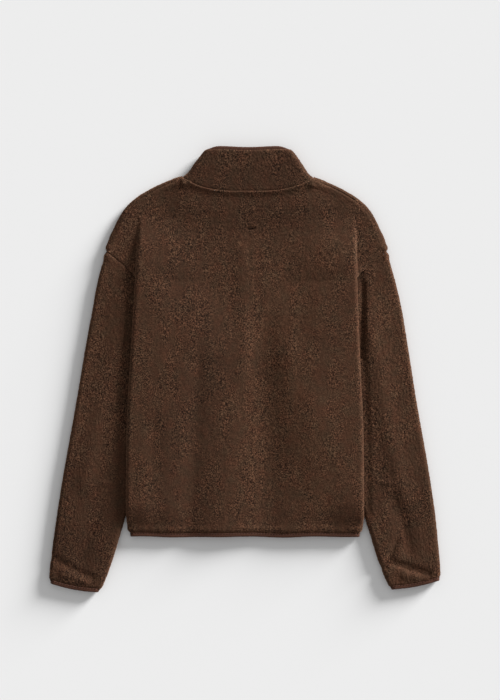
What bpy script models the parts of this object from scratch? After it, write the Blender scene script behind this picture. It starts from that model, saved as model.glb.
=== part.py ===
"""Fleece jacket with a stand collar and a full zip, laid flat on its front with its back up.

The jacket lies on the plane z = 0. +X runs across it, +Y up the back to the collar, +Z out of
the back. Every cloth piece is a wall: a sheet of points along the middle of the cloth, given its
thickness along the sheet's normals. The sleeves lie on the floor with their inner halves under
the body, so the sides of the back panel are lifted by a sleeve's thickness, fold over and come
down again to the front panels, which lie flat between the sleeves.
"""

import math
from collections import namedtuple

import bmesh
import bpy
import numpy as np

# Cloth, all sizes in metres
FLEECE = 0.0045
COLLAR_CLOTH = 0.0070
AIR = 0.0035
COLLAR_AIR = 0.0038
SEAM = 0.0003
LOW = FLEECE / 2
HIGH = LOW + FLEECE + AIR
EMPTY_SLEEVE = 2 * FLEECE + AIR
PRESSED = 0.0015
OVER_SLEEVE = EMPTY_SLEEVE - PRESSED + 0.0004
BEND = (HIGH - LOW) / 2

# Levels up the body, from the hem edge to the point where shoulder, neck and collar meet
HEM_Y = -0.2712
UNDERARM_Y = 0.0250
TAIL_ENDS_Y = 0.1455
CAP_STARTS_Y = 0.1586
CAP_LOW_Y = 0.1730
NOTCH_Y = 0.1950
PLEAT_STARTS_Y = 0.2560
NECK_POINT_Y = 0.3160
NECK_CENTRE_Y = 0.2940
FRONT_NECK_DROP = 0.0240
FRONT_BENDS_Y = 0.1700

Level = namedtuple("Level", "y x")
SIDE_FOLD = [
    Level(-0.2712, 0.1900),
    Level(-0.2620, 0.1938),
    Level(-0.240, 0.1965),
    Level(-0.116, 0.1955),
    Level(0.049, 0.1880),
    Level(0.154, 0.1832),
    Level(0.256, 0.1795),
]
SHOULDER = [
    Level(0.1950, 0.2327),
    Level(0.2137, 0.2285),
    Level(0.2300, 0.2210),
    Level(0.2467, 0.2130),
    Level(0.2630, 0.2030),
    Level(0.2797, 0.1865),
    Level(0.2930, 0.1660),
    Level(0.3060, 0.1400),
    Level(0.3160, 0.1090),
]
SLEEVE_OUTER = [
    Level(0.1950, 0.2327),
    Level(0.1477, 0.2460),
    Level(0.0650, 0.2615),
    Level(-0.0500, 0.2805),
    Level(-0.1820, 0.3036),
    Level(-0.2980, 0.3193),
    Level(-0.3310, 0.3230),
    Level(-0.3460, 0.3236),
]
SLEEVE_INNER = [
    Level(0.0250, 0.1150),
    Level(-0.0500, 0.1350),
    Level(-0.1500, 0.1650),
    Level(-0.2650, 0.2040),
    Level(-0.3140, 0.2186),
    Level(-0.3473, 0.2310),
    Level(-0.3620, 0.2380),
]
CUFF_BOW = 0.0035
ARMHOLE_BULGE = 0.0205
COLLAR_SIDE = [
    Level(0.3163, 0.1085),
    Level(0.3259, 0.0995),
    Level(0.3390, 0.0900),
    Level(0.3523, 0.0792),
    Level(0.3600, 0.0722),
]
COLLAR_TOP_Y = 0.3610
COLLAR_TOP_BOW = 0.0020

# How high the sleeve lifts the side fold at each level, and how far in the lift begins
Lift = namedtuple("Lift", "y height")
SIDE_LIFT = [
    Lift(-0.2712, 0.0024),
    Lift(-0.255, 0.0048),
    Lift(-0.240, 0.0082),
    Lift(-0.220, 0.0112),
    Lift(-0.195, OVER_SLEEVE),
    Lift(0.165, OVER_SLEEVE),
    Lift(0.205, 0.0078),
    Lift(0.235, 0.0028),
    Lift(0.256, 0.0),
]
LIFT_RAMP = 0.090
LIFT_STARTS = 0.026
LIFT_ENDS = 0.003
TURN_HANDLE = 1.32
TURN_TIGHTER = 0.65
SWING_LEVELS = [0.1477, 0.1499, 0.1520, 0.1542, 0.1564, 0.1583]
SEAM_INSIDE_SLEEVE = 0.036
SEAMS_PART = 0.060
NECK_LIFT = 0.0030

# Soft folds of the back, ridges above zero and troughs below. Each leans from top to foot.
Fold = namedtuple("Fold", "x_top x_foot y_top y_foot width height")
BACK_FOLDS = [
    Fold(0.003, 0.004, 0.235, -0.290, 0.017, 0.0034),
    Fold(-0.051, -0.066, 0.035, -0.262, 0.012, -0.0030),
    Fold(0.063, 0.070, 0.045, -0.215, 0.011, -0.0028),
    Fold(-0.094, -0.100, 0.010, -0.180, 0.015, 0.0022),
    Fold(0.128, 0.136, 0.000, -0.240, 0.018, 0.0020),
    Fold(0.098, 0.090, 0.150, -0.020, 0.020, -0.0014),
    Fold(-0.120, -0.112, 0.170, 0.020, 0.022, -0.0014),
    Fold(-0.150, -0.146, -0.060, -0.250, 0.014, -0.0016),
]
# Creases of the sleeves, in shares of the way across from the outer edge and down to the cuff
Crease = namedtuple("Crease", "across_a down_a across_b down_b width height")
LEFT_SLEEVE_CREASES = [
    Crease(0.34, 0.10, 0.30, 0.66, 0.016, 0.0020),
    Crease(0.12, 0.865, 0.80, 0.930, 0.008, -0.0030),
    Crease(0.20, 0.925, 0.55, 0.965, 0.008, 0.0018),
    Crease(0.62, 0.62, 0.52, 0.90, 0.018, -0.0016),
]
RIGHT_SLEEVE_CREASES = [
    Crease(0.36, 0.12, 0.44, 0.70, 0.016, 0.0022),
    Crease(0.55, 0.70, 0.48, 0.88, 0.014, -0.0022),
    Crease(0.48, 0.88, 0.14, 0.965, 0.008, -0.0034),
    Crease(0.50, 0.865, 0.86, 0.905, 0.008, -0.0028),
    Crease(0.44, 0.935, 0.72, 0.950, 0.010, 0.0022),
]

# Binding, zip and slider
BINDING_WIDTH = 0.0050
BINDING_THICK = 0.0034
COLLAR_BINDING_WIDTH = 0.0050
COLLAR_BINDING_THICK = 0.0044
ZIP_GAP = 0.0065
TAPE_THICK = 0.0008
TAPE_SPLIT = 0.0009
TAPE_Z = 0.0034
COLLAR_TAPE_Z = 0.0064
TEETH_WIDTH = 0.0056
TEETH_THICK = 0.0021
SLIDER_Y = 0.3230
SLIDER_LENGTH = 0.0110
SLIDER_WIDTH = 0.0088
PLATE_THICK = 0.0012
PLATE_CLEAR = 0.0003
TAB_HINGE_Z = 0.0028
TAB_LENGTH = 0.0280
TAB_WIDTH = 0.0066
TAB_THICK = 0.0011
TAB_RAIL = 0.0013
TAB_WINDOW = 0.0034
BRIDGE_WIDTH = 0.0018
BRIDGE_REACH = 0.0019
BRIDGE_THICK = 0.0009

# Points across and along the walls
MAIN_STEPS = 10
FOLD_STEPS = 6
CAP_STEPS = 2
EDGE_STEPS = 3
TAIL_STEPS = CAP_STEPS + EDGE_STEPS + 1

COCOA = (0.062, 0.032, 0.020)
BINDING_BROWN = (0.045, 0.017, 0.013)
ZIP_BROWN = (0.030, 0.015, 0.012)
DARK_METAL = (0.10, 0.085, 0.075)


def through(table, y):
    """The table's value at y, on a smooth curve that never swings past its rows."""
    rows = sorted(table)
    ys = np.array([row[0] for row in rows])
    xs = np.array([row[1] for row in rows])
    rates = np.diff(xs) / np.diff(ys)
    before, after = rates[:-1], rates[1:]
    same_way = before * after > 0
    total = np.where(same_way, before + after, 1.0)
    inner = np.where(same_way, 2 * before * after / total, 0.0)
    slopes = np.concatenate([rates[:1], inner, rates[-1:]])
    y = min(max(y, ys[0]), ys[-1])
    k = min(int(np.searchsorted(ys, y, side="right")) - 1, len(ys) - 2)
    span = ys[k + 1] - ys[k]
    t = (y - ys[k]) / span
    start = xs[k] * (2 * t**3 - 3 * t**2 + 1) + slopes[k] * span * (t**3 - 2 * t**2 + t)
    end = xs[k + 1] * (3 * t**2 - 2 * t**3) + slopes[k + 1] * span * (t**3 - t**2)
    return float(start + end)


def ease(t):
    """0 below 0, 1 above 1 and a soft rise between."""
    t = min(max(t, 0.0), 1.0)
    return t * t * (3 - 2 * t)


def along(table, share):
    """The point (x, y) at this share of the length of the table's smooth line, from its top row."""
    ys = np.linspace(table[0].y, table[-1].y, 80)
    points = np.array([(through(table, y), y) for y in ys])
    reach = np.concatenate([[0], np.cumsum(np.linalg.norm(np.diff(points, axis=0), axis=1))])
    return np.array([np.interp(share * reach[-1], reach, points[:, k]) for k in (0, 1)])


def armhole(t):
    """A point of the armhole seam, from the shoulder notch at t = 0 to the underarm at t = 1."""
    notch = np.array([SLEEVE_OUTER[0].x, SLEEVE_OUTER[0].y])
    underarm = np.array([SLEEVE_INNER[0].x, SLEEVE_INNER[0].y])
    chord = underarm - notch
    inward = np.array([chord[1], -chord[0]]) / np.linalg.norm(chord)
    return notch + chord * t + inward * 4 * t * (1 - t) * ARMHOLE_BULGE


ARMHOLE_POINTS = np.array([armhole(t) for t in np.linspace(1, 0, 60)])


def armhole_x(y):
    return float(np.interp(y, ARMHOLE_POINTS[:, 1], ARMHOLE_POINTS[:, 0]))


def sleeve_inner_x(y):
    """Where the hidden edge of the sleeve lies at this level: its inner edge or the armhole."""
    return armhole_x(y) if y > UNDERARM_Y else through(SLEEVE_INNER, y)


def seam_parting(y):
    """0 at the underarm, where side seam and sleeve start together, 1 where they are apart."""
    return ease((UNDERARM_Y - y) / SEAMS_PART)


def lift_ramp(y):
    """Where the side of the back begins to rise over the sleeve, and where it lies on it."""
    top = sleeve_inner_x(y) - LIFT_ENDS
    return top - (LIFT_STARTS - LIFT_ENDS) * max(seam_parting(y), 0.15), top


def lifted(x, y):
    """How far the turned-under side of the back is held up by the sleeve below it."""
    parting = seam_parting(y)
    foot, top = lift_ramp(y)
    rise = ease((x - foot) / (top - foot))
    return through(SIDE_LIFT, y) * (1 - parting + parting * rise)


def side_seam_x(y):
    """The inner end of the turned-under side: the side seam, then the hidden armhole."""
    return sleeve_inner_x(y) + 0.001 - (SEAM_INSIDE_SLEEVE + 0.001) * seam_parting(y)


def back_folds(x, y):
    """The height that the back's folds add at a point."""
    total = 0.0
    for fold in BACK_FOLDS:
        share = (fold.y_top - y) / (fold.y_top - fold.y_foot)
        centre = fold.x_top + (fold.x_foot - fold.x_top) * min(max(share, 0), 1)
        fade = ease(share / 0.22) * ease((1.12 - share) / 0.22)
        total += fold.height * fade * math.exp(-(((x - centre) / fold.width) ** 2))
    return total


def main_height(x, y, side_level):
    """The middle of the back's cloth between its two side folds."""
    across = abs(x)
    full = min(sleeve_inner_x(min(y, 0.150)) - 0.004, through(SIDE_FOLD, y) - 0.012)
    rise = side_level * ease((across - (full - LIFT_RAMP)) / LIFT_RAMP)
    neck = NECK_LIFT * ease((y - 0.225) / 0.070) * ease((0.150 - across) / 0.060)
    edge_calm = ease((0.188 - across) / 0.03)
    return HIGH + rise + neck + back_folds(x, y) * edge_calm


def arc(centre, out, up, radius, start, stop, steps):
    """Points of an arc, without its first one. Angle 0 points up and 90 degrees points out."""
    angles = np.radians(np.linspace(start, stop, steps + 1)[1:])
    return [centre + radius * (math.cos(a) * up + math.sin(a) * out) for a in angles]


UP = np.array([0.0, 0.0, 1.0])
OUT = np.array([1.0, 0.0, 0.0])


def shoulder_normal(y):
    """Which way the shoulder outline faces, seen from above."""
    low, high = max(y - 0.004, NOTCH_Y), min(y + 0.004, SHOULDER[-1].y)
    run = through(SHOULDER, high) - through(SHOULDER, low)
    normal = np.array([high - low, -run, 0.0])
    return normal / np.linalg.norm(normal)


def centre_y(y_edge):
    """The level of a row's middle. Near the neck the rows dip at the centre, as the seam does."""
    flat_until = 0.200
    bent = max(y_edge - flat_until, 0) / (NECK_POINT_Y - flat_until)
    return y_edge - (NECK_POINT_Y - NECK_CENTRE_Y) * bent


def folded_under(end, y_edge, level_y):
    """From the side fold under to the side seam or the hidden armhole."""
    row = arc(end - BEND * UP, OUT, UP, BEND, 0, 180, FOLD_STEPS)
    start, stop = end[0], min(side_seam_x(y_edge), end[0] - 0.002)
    if y_edge > UNDERARM_Y:
        spread = ease((y_edge - UNDERARM_Y) / 0.070)
        close = stop + np.array([0.012, 0.0085, 0.0062, 0.0042, 0.0020, 0.0])
        places = np.linspace(start, stop, TAIL_STEPS + 1)[1:] * spread + close * (1 - spread)
    else:
        foot, top = lift_ramp(y_edge)
        places = [top + 0.003, *(top + (foot - top) * np.array([0.27, 0.5, 0.73, 1.0])), stop]
        for k, place in enumerate(places):
            before = places[k - 1] if k else start
            places[k] = max(min(place, before - 0.0015), stop + 0.0008 * (TAIL_STEPS - 1 - k))
    row += [np.array([x, y_edge, LOW + lifted(x, level_y)]) for x in places]
    return row


def turned_down(end, y_edge):
    """Where the armhole passes under the side fold: from a fold under, through an edge that
    points straight down, to a step down and out."""
    swing = (y_edge - TAIL_ENDS_Y) / (CAP_STARTS_Y - TAIL_ENDS_Y)
    angle = math.pi * (1 - swing)
    tip_x = end[0] - 0.002 + swing * (armhole_x(CAP_STARTS_Y) - 0.0007 - end[0] + 0.002)
    tip = np.array([tip_x, y_edge, end[2] - 2 * BEND])
    way = math.cos(angle) * OUT - math.sin(angle) * UP
    middle = tip - way * (TURN_HANDLE * BEND + 0.0006)
    first = end + (TURN_HANDLE - TURN_TIGHTER * math.sin(angle)) * BEND * OUT
    shares = [*np.linspace(0, 0.85, FOLD_STEPS + 1)[1:], *np.linspace(0.85, 1, TAIL_STEPS + 1)[1:]]
    row = []
    for t in shares:
        u = 1 - t
        row.append(u**3 * end + 3 * u * u * t * first + 3 * u * t * t * middle + t**3 * tip)
    return row


def stepped_down(end, step, y_at):
    """The pleat's edge in the shoulder: a double bend from the back's middle down to its cap."""
    half = FOLD_STEPS // 2
    if step >= 2 * BEND:
        row = arc(end - BEND * UP, OUT, UP, BEND, 0, 90, half)
        turn = row[-1] - (step - 2 * BEND) * UP + BEND * OUT
        row += [turn - BEND * (math.cos(a) * OUT + math.sin(a) * UP)
                for a in np.radians(np.linspace(0, 90, half + 1)[1:])]
        return row
    row = []
    for share in np.linspace(0, 1, FOLD_STEPS + 1)[1:]:
        x = end[0] + 2 * BEND * share
        row.append(np.array([x, y_at(x), end[2] - step * ease(share)]))
    return row


def shoulder_edge(start, y_edge, y_at):
    """From the pleat to the shoulder outline, over it and a little way under."""
    normal = shoulder_normal(y_edge)
    base = np.array([through(SHOULDER, y_edge), y_edge, HIGH]) - normal * (FLEECE / 2 + BEND)
    row = []
    for share in np.linspace(0, 1, CAP_STEPS + 1)[1:]:
        place = start + (base - start) * share
        place[1] = y_at(place[0]) * (1 - share**2) + place[1] * share**2
        row.append(place)
    wrap = 40 + 140 * min((y_edge - NOTCH_Y) / 0.0075, 1)
    row += arc(base - BEND * UP, normal, UP, BEND, 0, wrap, EDGE_STEPS)
    way = math.cos(math.radians(wrap)) * normal - math.sin(math.radians(wrap)) * UP
    row.append(row[-1] + way * 0.0020)
    return row


def back_row(y_edge, side):
    """One half row of the back panel, from the centre line out and round to its edge."""
    level_y = max(y_edge, HEM_Y + 0.010)
    y_middle = centre_y(y_edge)
    if y_edge < CAP_STARTS_Y:
        fold_x = through(SIDE_FOLD, y_edge)
        main_end = fold_x - FLEECE / 2 - BEND
        side_level = lifted(main_end, level_y)
        edge_x = main_end
    else:
        fold_x = through(SIDE_FOLD, min(y_edge, PLEAT_STARTS_Y))
        side_level = through(SIDE_LIFT, min(y_edge, PLEAT_STARTS_Y))
        step = side_level - (side_level - 2 * BEND) * ease((CAP_LOW_Y - y_edge) / 0.013)
        if y_edge < NOTCH_Y:
            edge_x = armhole_x(y_edge) - 0.0007
            main_end = min(fold_x - FLEECE / 2 - BEND, edge_x - 2 * BEND - 0.0012)
        else:
            edge_x = through(SHOULDER, y_edge)
            main_end = min(fold_x - FLEECE / 2 - BEND, edge_x - 0.024)

    def y_at(x):
        return y_middle + (y_edge - y_middle) * min(abs(x) / edge_x, 1.0) ** 3

    row = []
    for x in np.linspace(0, main_end, MAIN_STEPS + 1):
        row.append(np.array([x, y_at(x), main_height(side * x, level_y, side_level)]))
    end = row[-1]
    if y_edge < TAIL_ENDS_Y:
        row += folded_under(end, y_edge, level_y)
    elif y_edge < CAP_STARTS_Y:
        row += turned_down(end, y_edge)
    else:
        row += stepped_down(end, step, y_at)
        start = row[-1]
        if y_edge < NOTCH_Y:
            reach = edge_x - start[0]
            last = min(0.006, 0.6 * reach)
            places = [*np.linspace(0, reach - last, CAP_STEPS + 1)[1:]]
            places += [*np.linspace(reach - last, reach, EDGE_STEPS + 2)[1:]]
            row += [start + place * OUT for place in places]
        else:
            row += shoulder_edge(start, y_edge, y_at)
    return [point * np.array([side, 1, 1]) for point in row]


def back_levels():
    """The levels of the back's rows, closer where the pleat, the notch and the neck are."""
    lower = [*np.linspace(HEM_Y, -0.200, 5), -0.160, -0.120, -0.085, -0.055, -0.030, -0.008, 0.010]
    upper = [UNDERARM_Y + 0.0005, 0.055, 0.090, 0.122, TAIL_ENDS_Y - 0.0003]
    cap = [0.1630, 0.1680, 0.1740, NOTCH_Y - 0.0020]
    shoulder = [NOTCH_Y + 0.0004, NOTCH_Y + 0.0038, NOTCH_Y + 0.0075, 0.217, 0.234, 0.252]
    neck = [0.268, 0.283, 0.295, 0.305, 0.311, NECK_POINT_Y]
    return [*lower, *upper, *SWING_LEVELS, *cap, *shoulder, *neck]


def lean(points):
    """The laid jacket isn't quite even. It leans to the right towards its collar, its sleeves lie a
    little to the right, its right cuff is higher than its left, and its left shoulder is pushed up."""
    moved = np.array(points, float)
    x, y = moved[..., 0], moved[..., 1]

    def rise(share):
        share = np.clip(share, 0, 1)
        return share * share * (3 - 2 * share)

    sleeve = rise((np.abs(x) - 0.19) / 0.07)
    right = 0.0055 * np.clip((y + 0.05) / 0.40, 0, 1) ** 1.5
    right = right + 0.0024 * sleeve * rise((y + 0.33) / 0.10) * rise((0.17 - y) / 0.08)
    up = np.where(x > 0, 0.0038, -0.0012) * sleeve * rise((-0.14 - y) / 0.16)
    up = up + 0.0026 * rise((-0.07 - x) / 0.07) * rise((y - 0.18) / 0.06)
    moved[..., 0] += right
    moved[..., 1] += up
    return moved


def normals_of(sheet, ring):
    """The unit normals of a sheet of points, from its neighbours each way."""
    if ring:
        across = np.roll(sheet, -1, axis=1) - np.roll(sheet, 1, axis=1)
    else:
        across = np.gradient(sheet, axis=1)
    down = np.gradient(sheet, axis=0)
    normals = np.cross(across, down)
    return normals / np.maximum(np.linalg.norm(normals, axis=2, keepdims=True), 1e-12)


def material(name, colour, roughness, metallic=0.0):
    made = bpy.data.materials.get(name) or bpy.data.materials.new(name)
    made.use_nodes = True
    shader = made.node_tree.nodes["Principled BSDF"]
    shader.inputs["Base Color"].default_value = (*colour, 1.0)
    shader.inputs["Roughness"].default_value = roughness
    shader.inputs["Metallic"].default_value = metallic
    return made


def finish(name, points, faces, look):
    """A mesh object from points and faces, closed, facing out and shaded smooth."""
    mesh = bpy.data.meshes.new(name)
    mesh.from_pydata([tuple(p) for p in points], [], faces)
    work = bmesh.new()
    work.from_mesh(mesh)
    bmesh.ops.remove_doubles(work, verts=work.verts, dist=0.00001)
    bmesh.ops.recalc_face_normals(work, faces=work.faces)
    work.to_mesh(mesh)
    work.free()
    mesh.shade_smooth()
    mesh.set_sharp_from_angle(angle=math.radians(50))
    obj = bpy.data.objects.new(name, mesh)
    mesh.materials.append(look)
    bpy.context.scene.collection.objects.link(obj)
    return obj


def wall(name, sheet, thick, look, ring=False, level_hem=False, level_top=False):
    """A cloth wall from the sheet of points along its middle: two skins joined round the rim."""
    sheet = np.array(sheet, float)
    offset = normals_of(sheet, ring) * (thick / 2)
    if level_hem:
        offset[0, :, 1] = 0
    if level_top:
        offset[-1, :, 1] *= 0.35
    rows, columns = sheet.shape[:2]
    points = np.concatenate([(sheet + offset).reshape(-1, 3), (sheet - offset).reshape(-1, 3)])
    inner = rows * columns
    faces = []
    last = columns if ring else columns - 1
    for r in range(rows - 1):
        for c in range(last):
            a, b = r * columns + c, r * columns + (c + 1) % columns
            faces.append((a, b, b + columns, a + columns))
            faces.append((inner + a, inner + a + columns, inner + b + columns, inner + b))
    for c in range(last):
        for r in (0, rows - 1):
            a, b = r * columns + c, r * columns + (c + 1) % columns
            faces.append((a, b, inner + b, inner + a))
    if not ring:
        for r in range(rows - 1):
            for c in (0, columns - 1):
                a, b = r * columns + c, (r + 1) * columns + c
                faces.append((a, b, inner + b, inner + a))
    return finish(name, lean(points), faces, look)


def back_panel(look):
    sheet = []
    for y in back_levels():
        left = back_row(y, -1)
        right = back_row(y, 1)
        sheet.append([*left[:0:-1], *right])
    return wall("back", sheet, FLEECE, look, level_hem=True)


def front_edge(y):
    """The outer edge of a front panel at each level, as it lies on the floor."""
    if y < NOTCH_Y:
        above = 0.0016 * (1 - ease((UNDERARM_Y - y) / 0.020))
        corner = 0.0024 * math.exp(-(((y - UNDERARM_Y - 0.003) / 0.009) ** 2))
        return np.array([side_seam_x(y) - SEAM - above - corner, y])
    normal = shoulder_normal(y)
    edge = np.array([through(SHOULDER, y), y, 0.0]) - normal * (FLEECE / 2 + BEND + 0.0027)
    return edge[:2]


def front_neck_y(x):
    """The front neck seam, which dips lower at the middle than the back's."""
    t = min(abs(x) / COLLAR_SIDE[0].x, 1.0)
    back_y = NECK_CENTRE_Y - 0.0002 + (COLLAR_SIDE[0].y - SEAM - NECK_CENTRE_Y) * t**3
    return back_y - FRONT_NECK_DROP * (1 - t**2)


def front_panel(name, side, look):
    """One front, flat on the floor from the zip to the side seam, armhole and shoulder."""
    levels = [*back_levels()[:13], 0.040, 0.060, 0.090, 0.120, 0.145]
    levels += [0.165, 0.180, 0.1925, 0.197, 0.212, 0.230, 0.248, 0.264, 0.278, 0.292, 0.304]
    levels += [0.311, NECK_POINT_Y]
    columns = 6
    corner = front_edge(NECK_POINT_Y)
    sheet = []
    for y in levels:
        edge_x, edge_y = front_edge(y)
        bent = max(y - FRONT_BENDS_Y, 0) / (NECK_POINT_Y - FRONT_BENDS_Y)
        row = []
        for share in np.linspace(0, 1, columns + 1):
            x = ZIP_GAP + (edge_x - ZIP_GAP) * share
            top_x = ZIP_GAP + (corner[0] - ZIP_GAP) * share
            neck = front_neck_y(top_x) + (corner[1] - front_neck_y(corner[0])) * share**6
            bend = min(y, FRONT_BENDS_Y) + (neck - FRONT_BENDS_Y) * bent
            to_edge = share ** (4 + 14 * bent)
            row.append((side * x, bend + (edge_y - bend) * to_edge, LOW))
        sheet.append(row)
    return wall(name, sheet, FLEECE, look)


def crease_height(creases, across, down, length, width):
    """The height that a sleeve's creases add at a share across and down it."""
    total = 0.0
    place = np.array([across * width, down * length])
    for crease in creases:
        a = np.array([crease.across_a * width, crease.down_a * length])
        b = np.array([crease.across_b * width, crease.down_b * length])
        run = b - a
        share = float(np.dot(place - a, run) / np.dot(run, run))
        near = a + run * min(max(share, 0), 1)
        away = np.linalg.norm(place - near)
        total += crease.height * math.exp(-((away / crease.width) ** 2))
    return total


SLEEVE_LENGTH = 0.470
SLEEVE_WIDTH = 0.130


def sleeve_ring(down, creases, side):
    """One ring round the empty sleeve, from its outer edge over the top and back underneath."""
    outer, inner = along(SLEEVE_OUTER, down), along(SLEEVE_INNER, down)
    chord = inner - outer
    width = np.linalg.norm(chord)
    chord = chord / width
    inward = np.array([chord[1], -chord[0]])
    bulge = ARMHOLE_BULGE * max(1 - down / 0.30, 0) ** 2 - CUFF_BOW * ease((down - 0.8) / 0.2)
    inset = FLEECE / 2 + BEND

    def place(distance, z):
        t = min(max(distance / width, 0), 1)
        start_gap = 0.0026 * math.exp(-((distance / 0.010) ** 2)) * max(1 - down / 0.06, 0)
        xy = outer + chord * distance + inward * (4 * t * (1 - t) * bulge - start_gap)
        return np.array([xy[0], xy[1], z])

    top = []
    for share in np.linspace(0, 1, 9):
        point = place(inset + (width - 2 * inset) * share, HIGH)
        under_body = through(SIDE_FOLD, min(max(point[1], HEM_Y), PLEAT_STARTS_Y)) + 0.022
        covered = ease((under_body - point[0]) / 0.012) * ease((point[1] + 0.262) / 0.03)
        across = (inset + (width - 2 * inset) * share) / width
        fold = crease_height(creases, across, down, SLEEVE_LENGTH, SLEEVE_WIDTH)
        fold *= ease(down / 0.06) * ease((1.0 - down) / 0.03)
        point[2] += max(fold, -0.7 * AIR) * (1 - covered) - PRESSED * covered
        top.append(point)
    bottom = [place(inset + (width - 2 * inset) * share, LOW) for share in np.linspace(1, 0, 7)]

    def turn(a, b, sign):
        middle, radius = (a + b) / 2, np.linalg.norm(a - b) / 2
        out = np.array([*chord, 0.0]) * sign
        if sign > 0:
            angles = np.radians([45, 90, 135])
        else:
            angles = np.radians([135, 90, 45])
        return [middle + out * radius * math.sin(t) + UP * radius * math.cos(t) for t in angles]

    inner_turn = turn(top[-1], bottom[0], 1)
    outer_turn = turn(top[0], bottom[-1], -1)
    ring = [*top, *inner_turn, *bottom, *outer_turn]
    return [point * np.array([side, 1, 1]) for point in ring]


SLEEVE_DOWNS = [0.001, 0.035, 0.08, 0.14, 0.21, 0.28, 0.35, 0.42, 0.49, 0.56, 0.63, 0.70, 0.76]
SLEEVE_DOWNS += [0.82, 0.865, 0.90, 0.93, 0.96, 0.985, 1.0]


def sleeve(name, side, creases, look):
    rings = [sleeve_ring(down, creases, side) for down in SLEEVE_DOWNS]
    return wall(name, rings, FLEECE, look, ring=True)


def collar_row(share):
    """One row round the collar, from one zip edge round the back to the other."""
    side_y = COLLAR_SIDE[0].y + (COLLAR_SIDE[-1].y - COLLAR_SIDE[0].y) * share
    half = through(COLLAR_SIDE, side_y)
    middle_y = NECK_CENTRE_Y + SEAM + (COLLAR_TOP_Y - NECK_CENTRE_Y - SEAM) * share
    low, high = COLLAR_CLOTH / 2, COLLAR_CLOTH * 1.5 + COLLAR_AIR
    radius = (high - low) / 2
    flat = half - COLLAR_CLOTH / 2 - radius

    def y_at(x, front):
        t = min(abs(x) / half, 1.0)
        y = middle_y + (side_y - middle_y) * t**3 + COLLAR_TOP_BOW * share * 4 * t**2 * (1 - t**2)
        return y - FRONT_NECK_DROP * (1 - t**2) * front

    def turn(sign, angles):
        points = []
        for a in np.radians(angles):
            x = sign * (flat + radius * math.sin(a))
            front = (1 - math.cos(a)) / 2
            points.append((x, y_at(x, front), low + radius + radius * math.cos(a)))
        return points

    right = [(x, y_at(x, 1), low) for x in np.linspace(ZIP_GAP, flat, 6)]
    back = [(x, y_at(x, 0), high) for x in np.linspace(flat, -flat, 13)]
    left = [(x, y_at(x, 1), low) for x in np.linspace(-flat, -ZIP_GAP, 6)]
    return [*right, *turn(1, [135, 90, 45]), *back, *turn(-1, [45, 90, 135]), *left]


def collar(look):
    sheet = [collar_row(share) for share in (0, 0.16, 0.38, 0.60, 0.82, 1)]
    return wall("collar", sheet, COLLAR_CLOTH, look, level_hem=True, level_top=True)


def strip(name, path, across, look, width, thick, ring=False):
    """A rounded band swept along a path. across gives the direction of its width at each point."""
    path, across = np.array(path, float), np.array(across, float)
    if ring:
        run = np.roll(path, -1, axis=0) - np.roll(path, 1, axis=0)
    else:
        run = np.gradient(path, axis=0)
    run /= np.linalg.norm(run, axis=1, keepdims=True)
    across -= run * (across * run).sum(1, keepdims=True)
    across /= np.linalg.norm(across, axis=1, keepdims=True)
    out = np.cross(run, across)
    corner = 0.62
    profile = [(1, corner), (corner, 1), (-corner, 1), (-1, corner)]
    profile += [(-a, -b) for a, b in profile]
    points = [p + a * width / 2 * w + b * thick / 2 * o
              for p, w, o in zip(path, across, out) for a, b in profile]
    count, sides = len(path), len(profile)
    faces = []
    for i in range(count if ring else count - 1):
        here, there = i * sides, (i + 1) % count * sides
        for k in range(sides):
            after = (k + 1) % sides
            faces.append((here + k, here + after, there + after, there + k))
    if not ring:
        faces.append(tuple(range(sides)))
        faces.append(tuple((count - 1) * sides + k for k in range(sides)))
    return finish(name, lean(points), faces, look)


def square_to(direction, run):
    """The part of each direction that is square to the run, as a unit vector."""
    run = run / np.linalg.norm(run, axis=1, keepdims=True)
    square = direction - run * (direction * run).sum(1, keepdims=True)
    return square / np.linalg.norm(square, axis=1, keepdims=True)


def hem_binding(look):
    """The elastic binding under the hem, from one zip edge round the back to the other."""
    row = [*back_row(HEM_Y, -1)[:0:-1], *back_row(HEM_Y, 1)]
    keep = row[TAIL_STEPS - 2:len(row) - TAIL_STEPS + 2]
    front_x = np.linspace(keep[0][0], -ZIP_GAP, 8)[1:]
    start = [np.array([-x, HEM_Y, LOW]) for x in front_x[::-1]]
    end = [np.array([x, HEM_Y, LOW]) for x in front_x]
    path = [*start, *keep[::-1], *end]
    drop = BINDING_WIDTH / 2 + SEAM
    path = [p - np.array([0, drop, 0]) for p in path]
    return strip("hem_binding", path, [(0, -1, 0)] * len(path), look, BINDING_WIDTH, BINDING_THICK)


def cuff_binding(name, side, creases, look):
    ring = np.array(sleeve_ring(1.0, creases, side))
    above = np.array(sleeve_ring(0.985, creases, side))
    down = square_to(ring - above, np.roll(ring, -1, axis=0) - np.roll(ring, 1, axis=0))
    middle = ring[:, :2].mean(0)
    tucked = ring.copy()
    tucked[:, :2] += (middle - tucked[:, :2]) * 0.045
    path = tucked + down * (BINDING_WIDTH / 2 + SEAM)
    path[:, 2] = np.clip(path[:, 2], BINDING_THICK / 2 + 0.0004, None)
    return strip(name, path, down, look, BINDING_WIDTH, BINDING_THICK, ring=True)


def collar_binding(look):
    row, below = np.array(collar_row(1)), np.array(collar_row(0.86))
    up = square_to(row - below, np.gradient(row, axis=0))
    up = square_to(up + [0, 1, 0], np.gradient(row, axis=0))
    path = row + up * (COLLAR_BINDING_WIDTH / 2 + SEAM + 0.0009)
    return strip("collar_binding", path, up, look, COLLAR_BINDING_WIDTH, COLLAR_BINDING_THICK)


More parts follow.
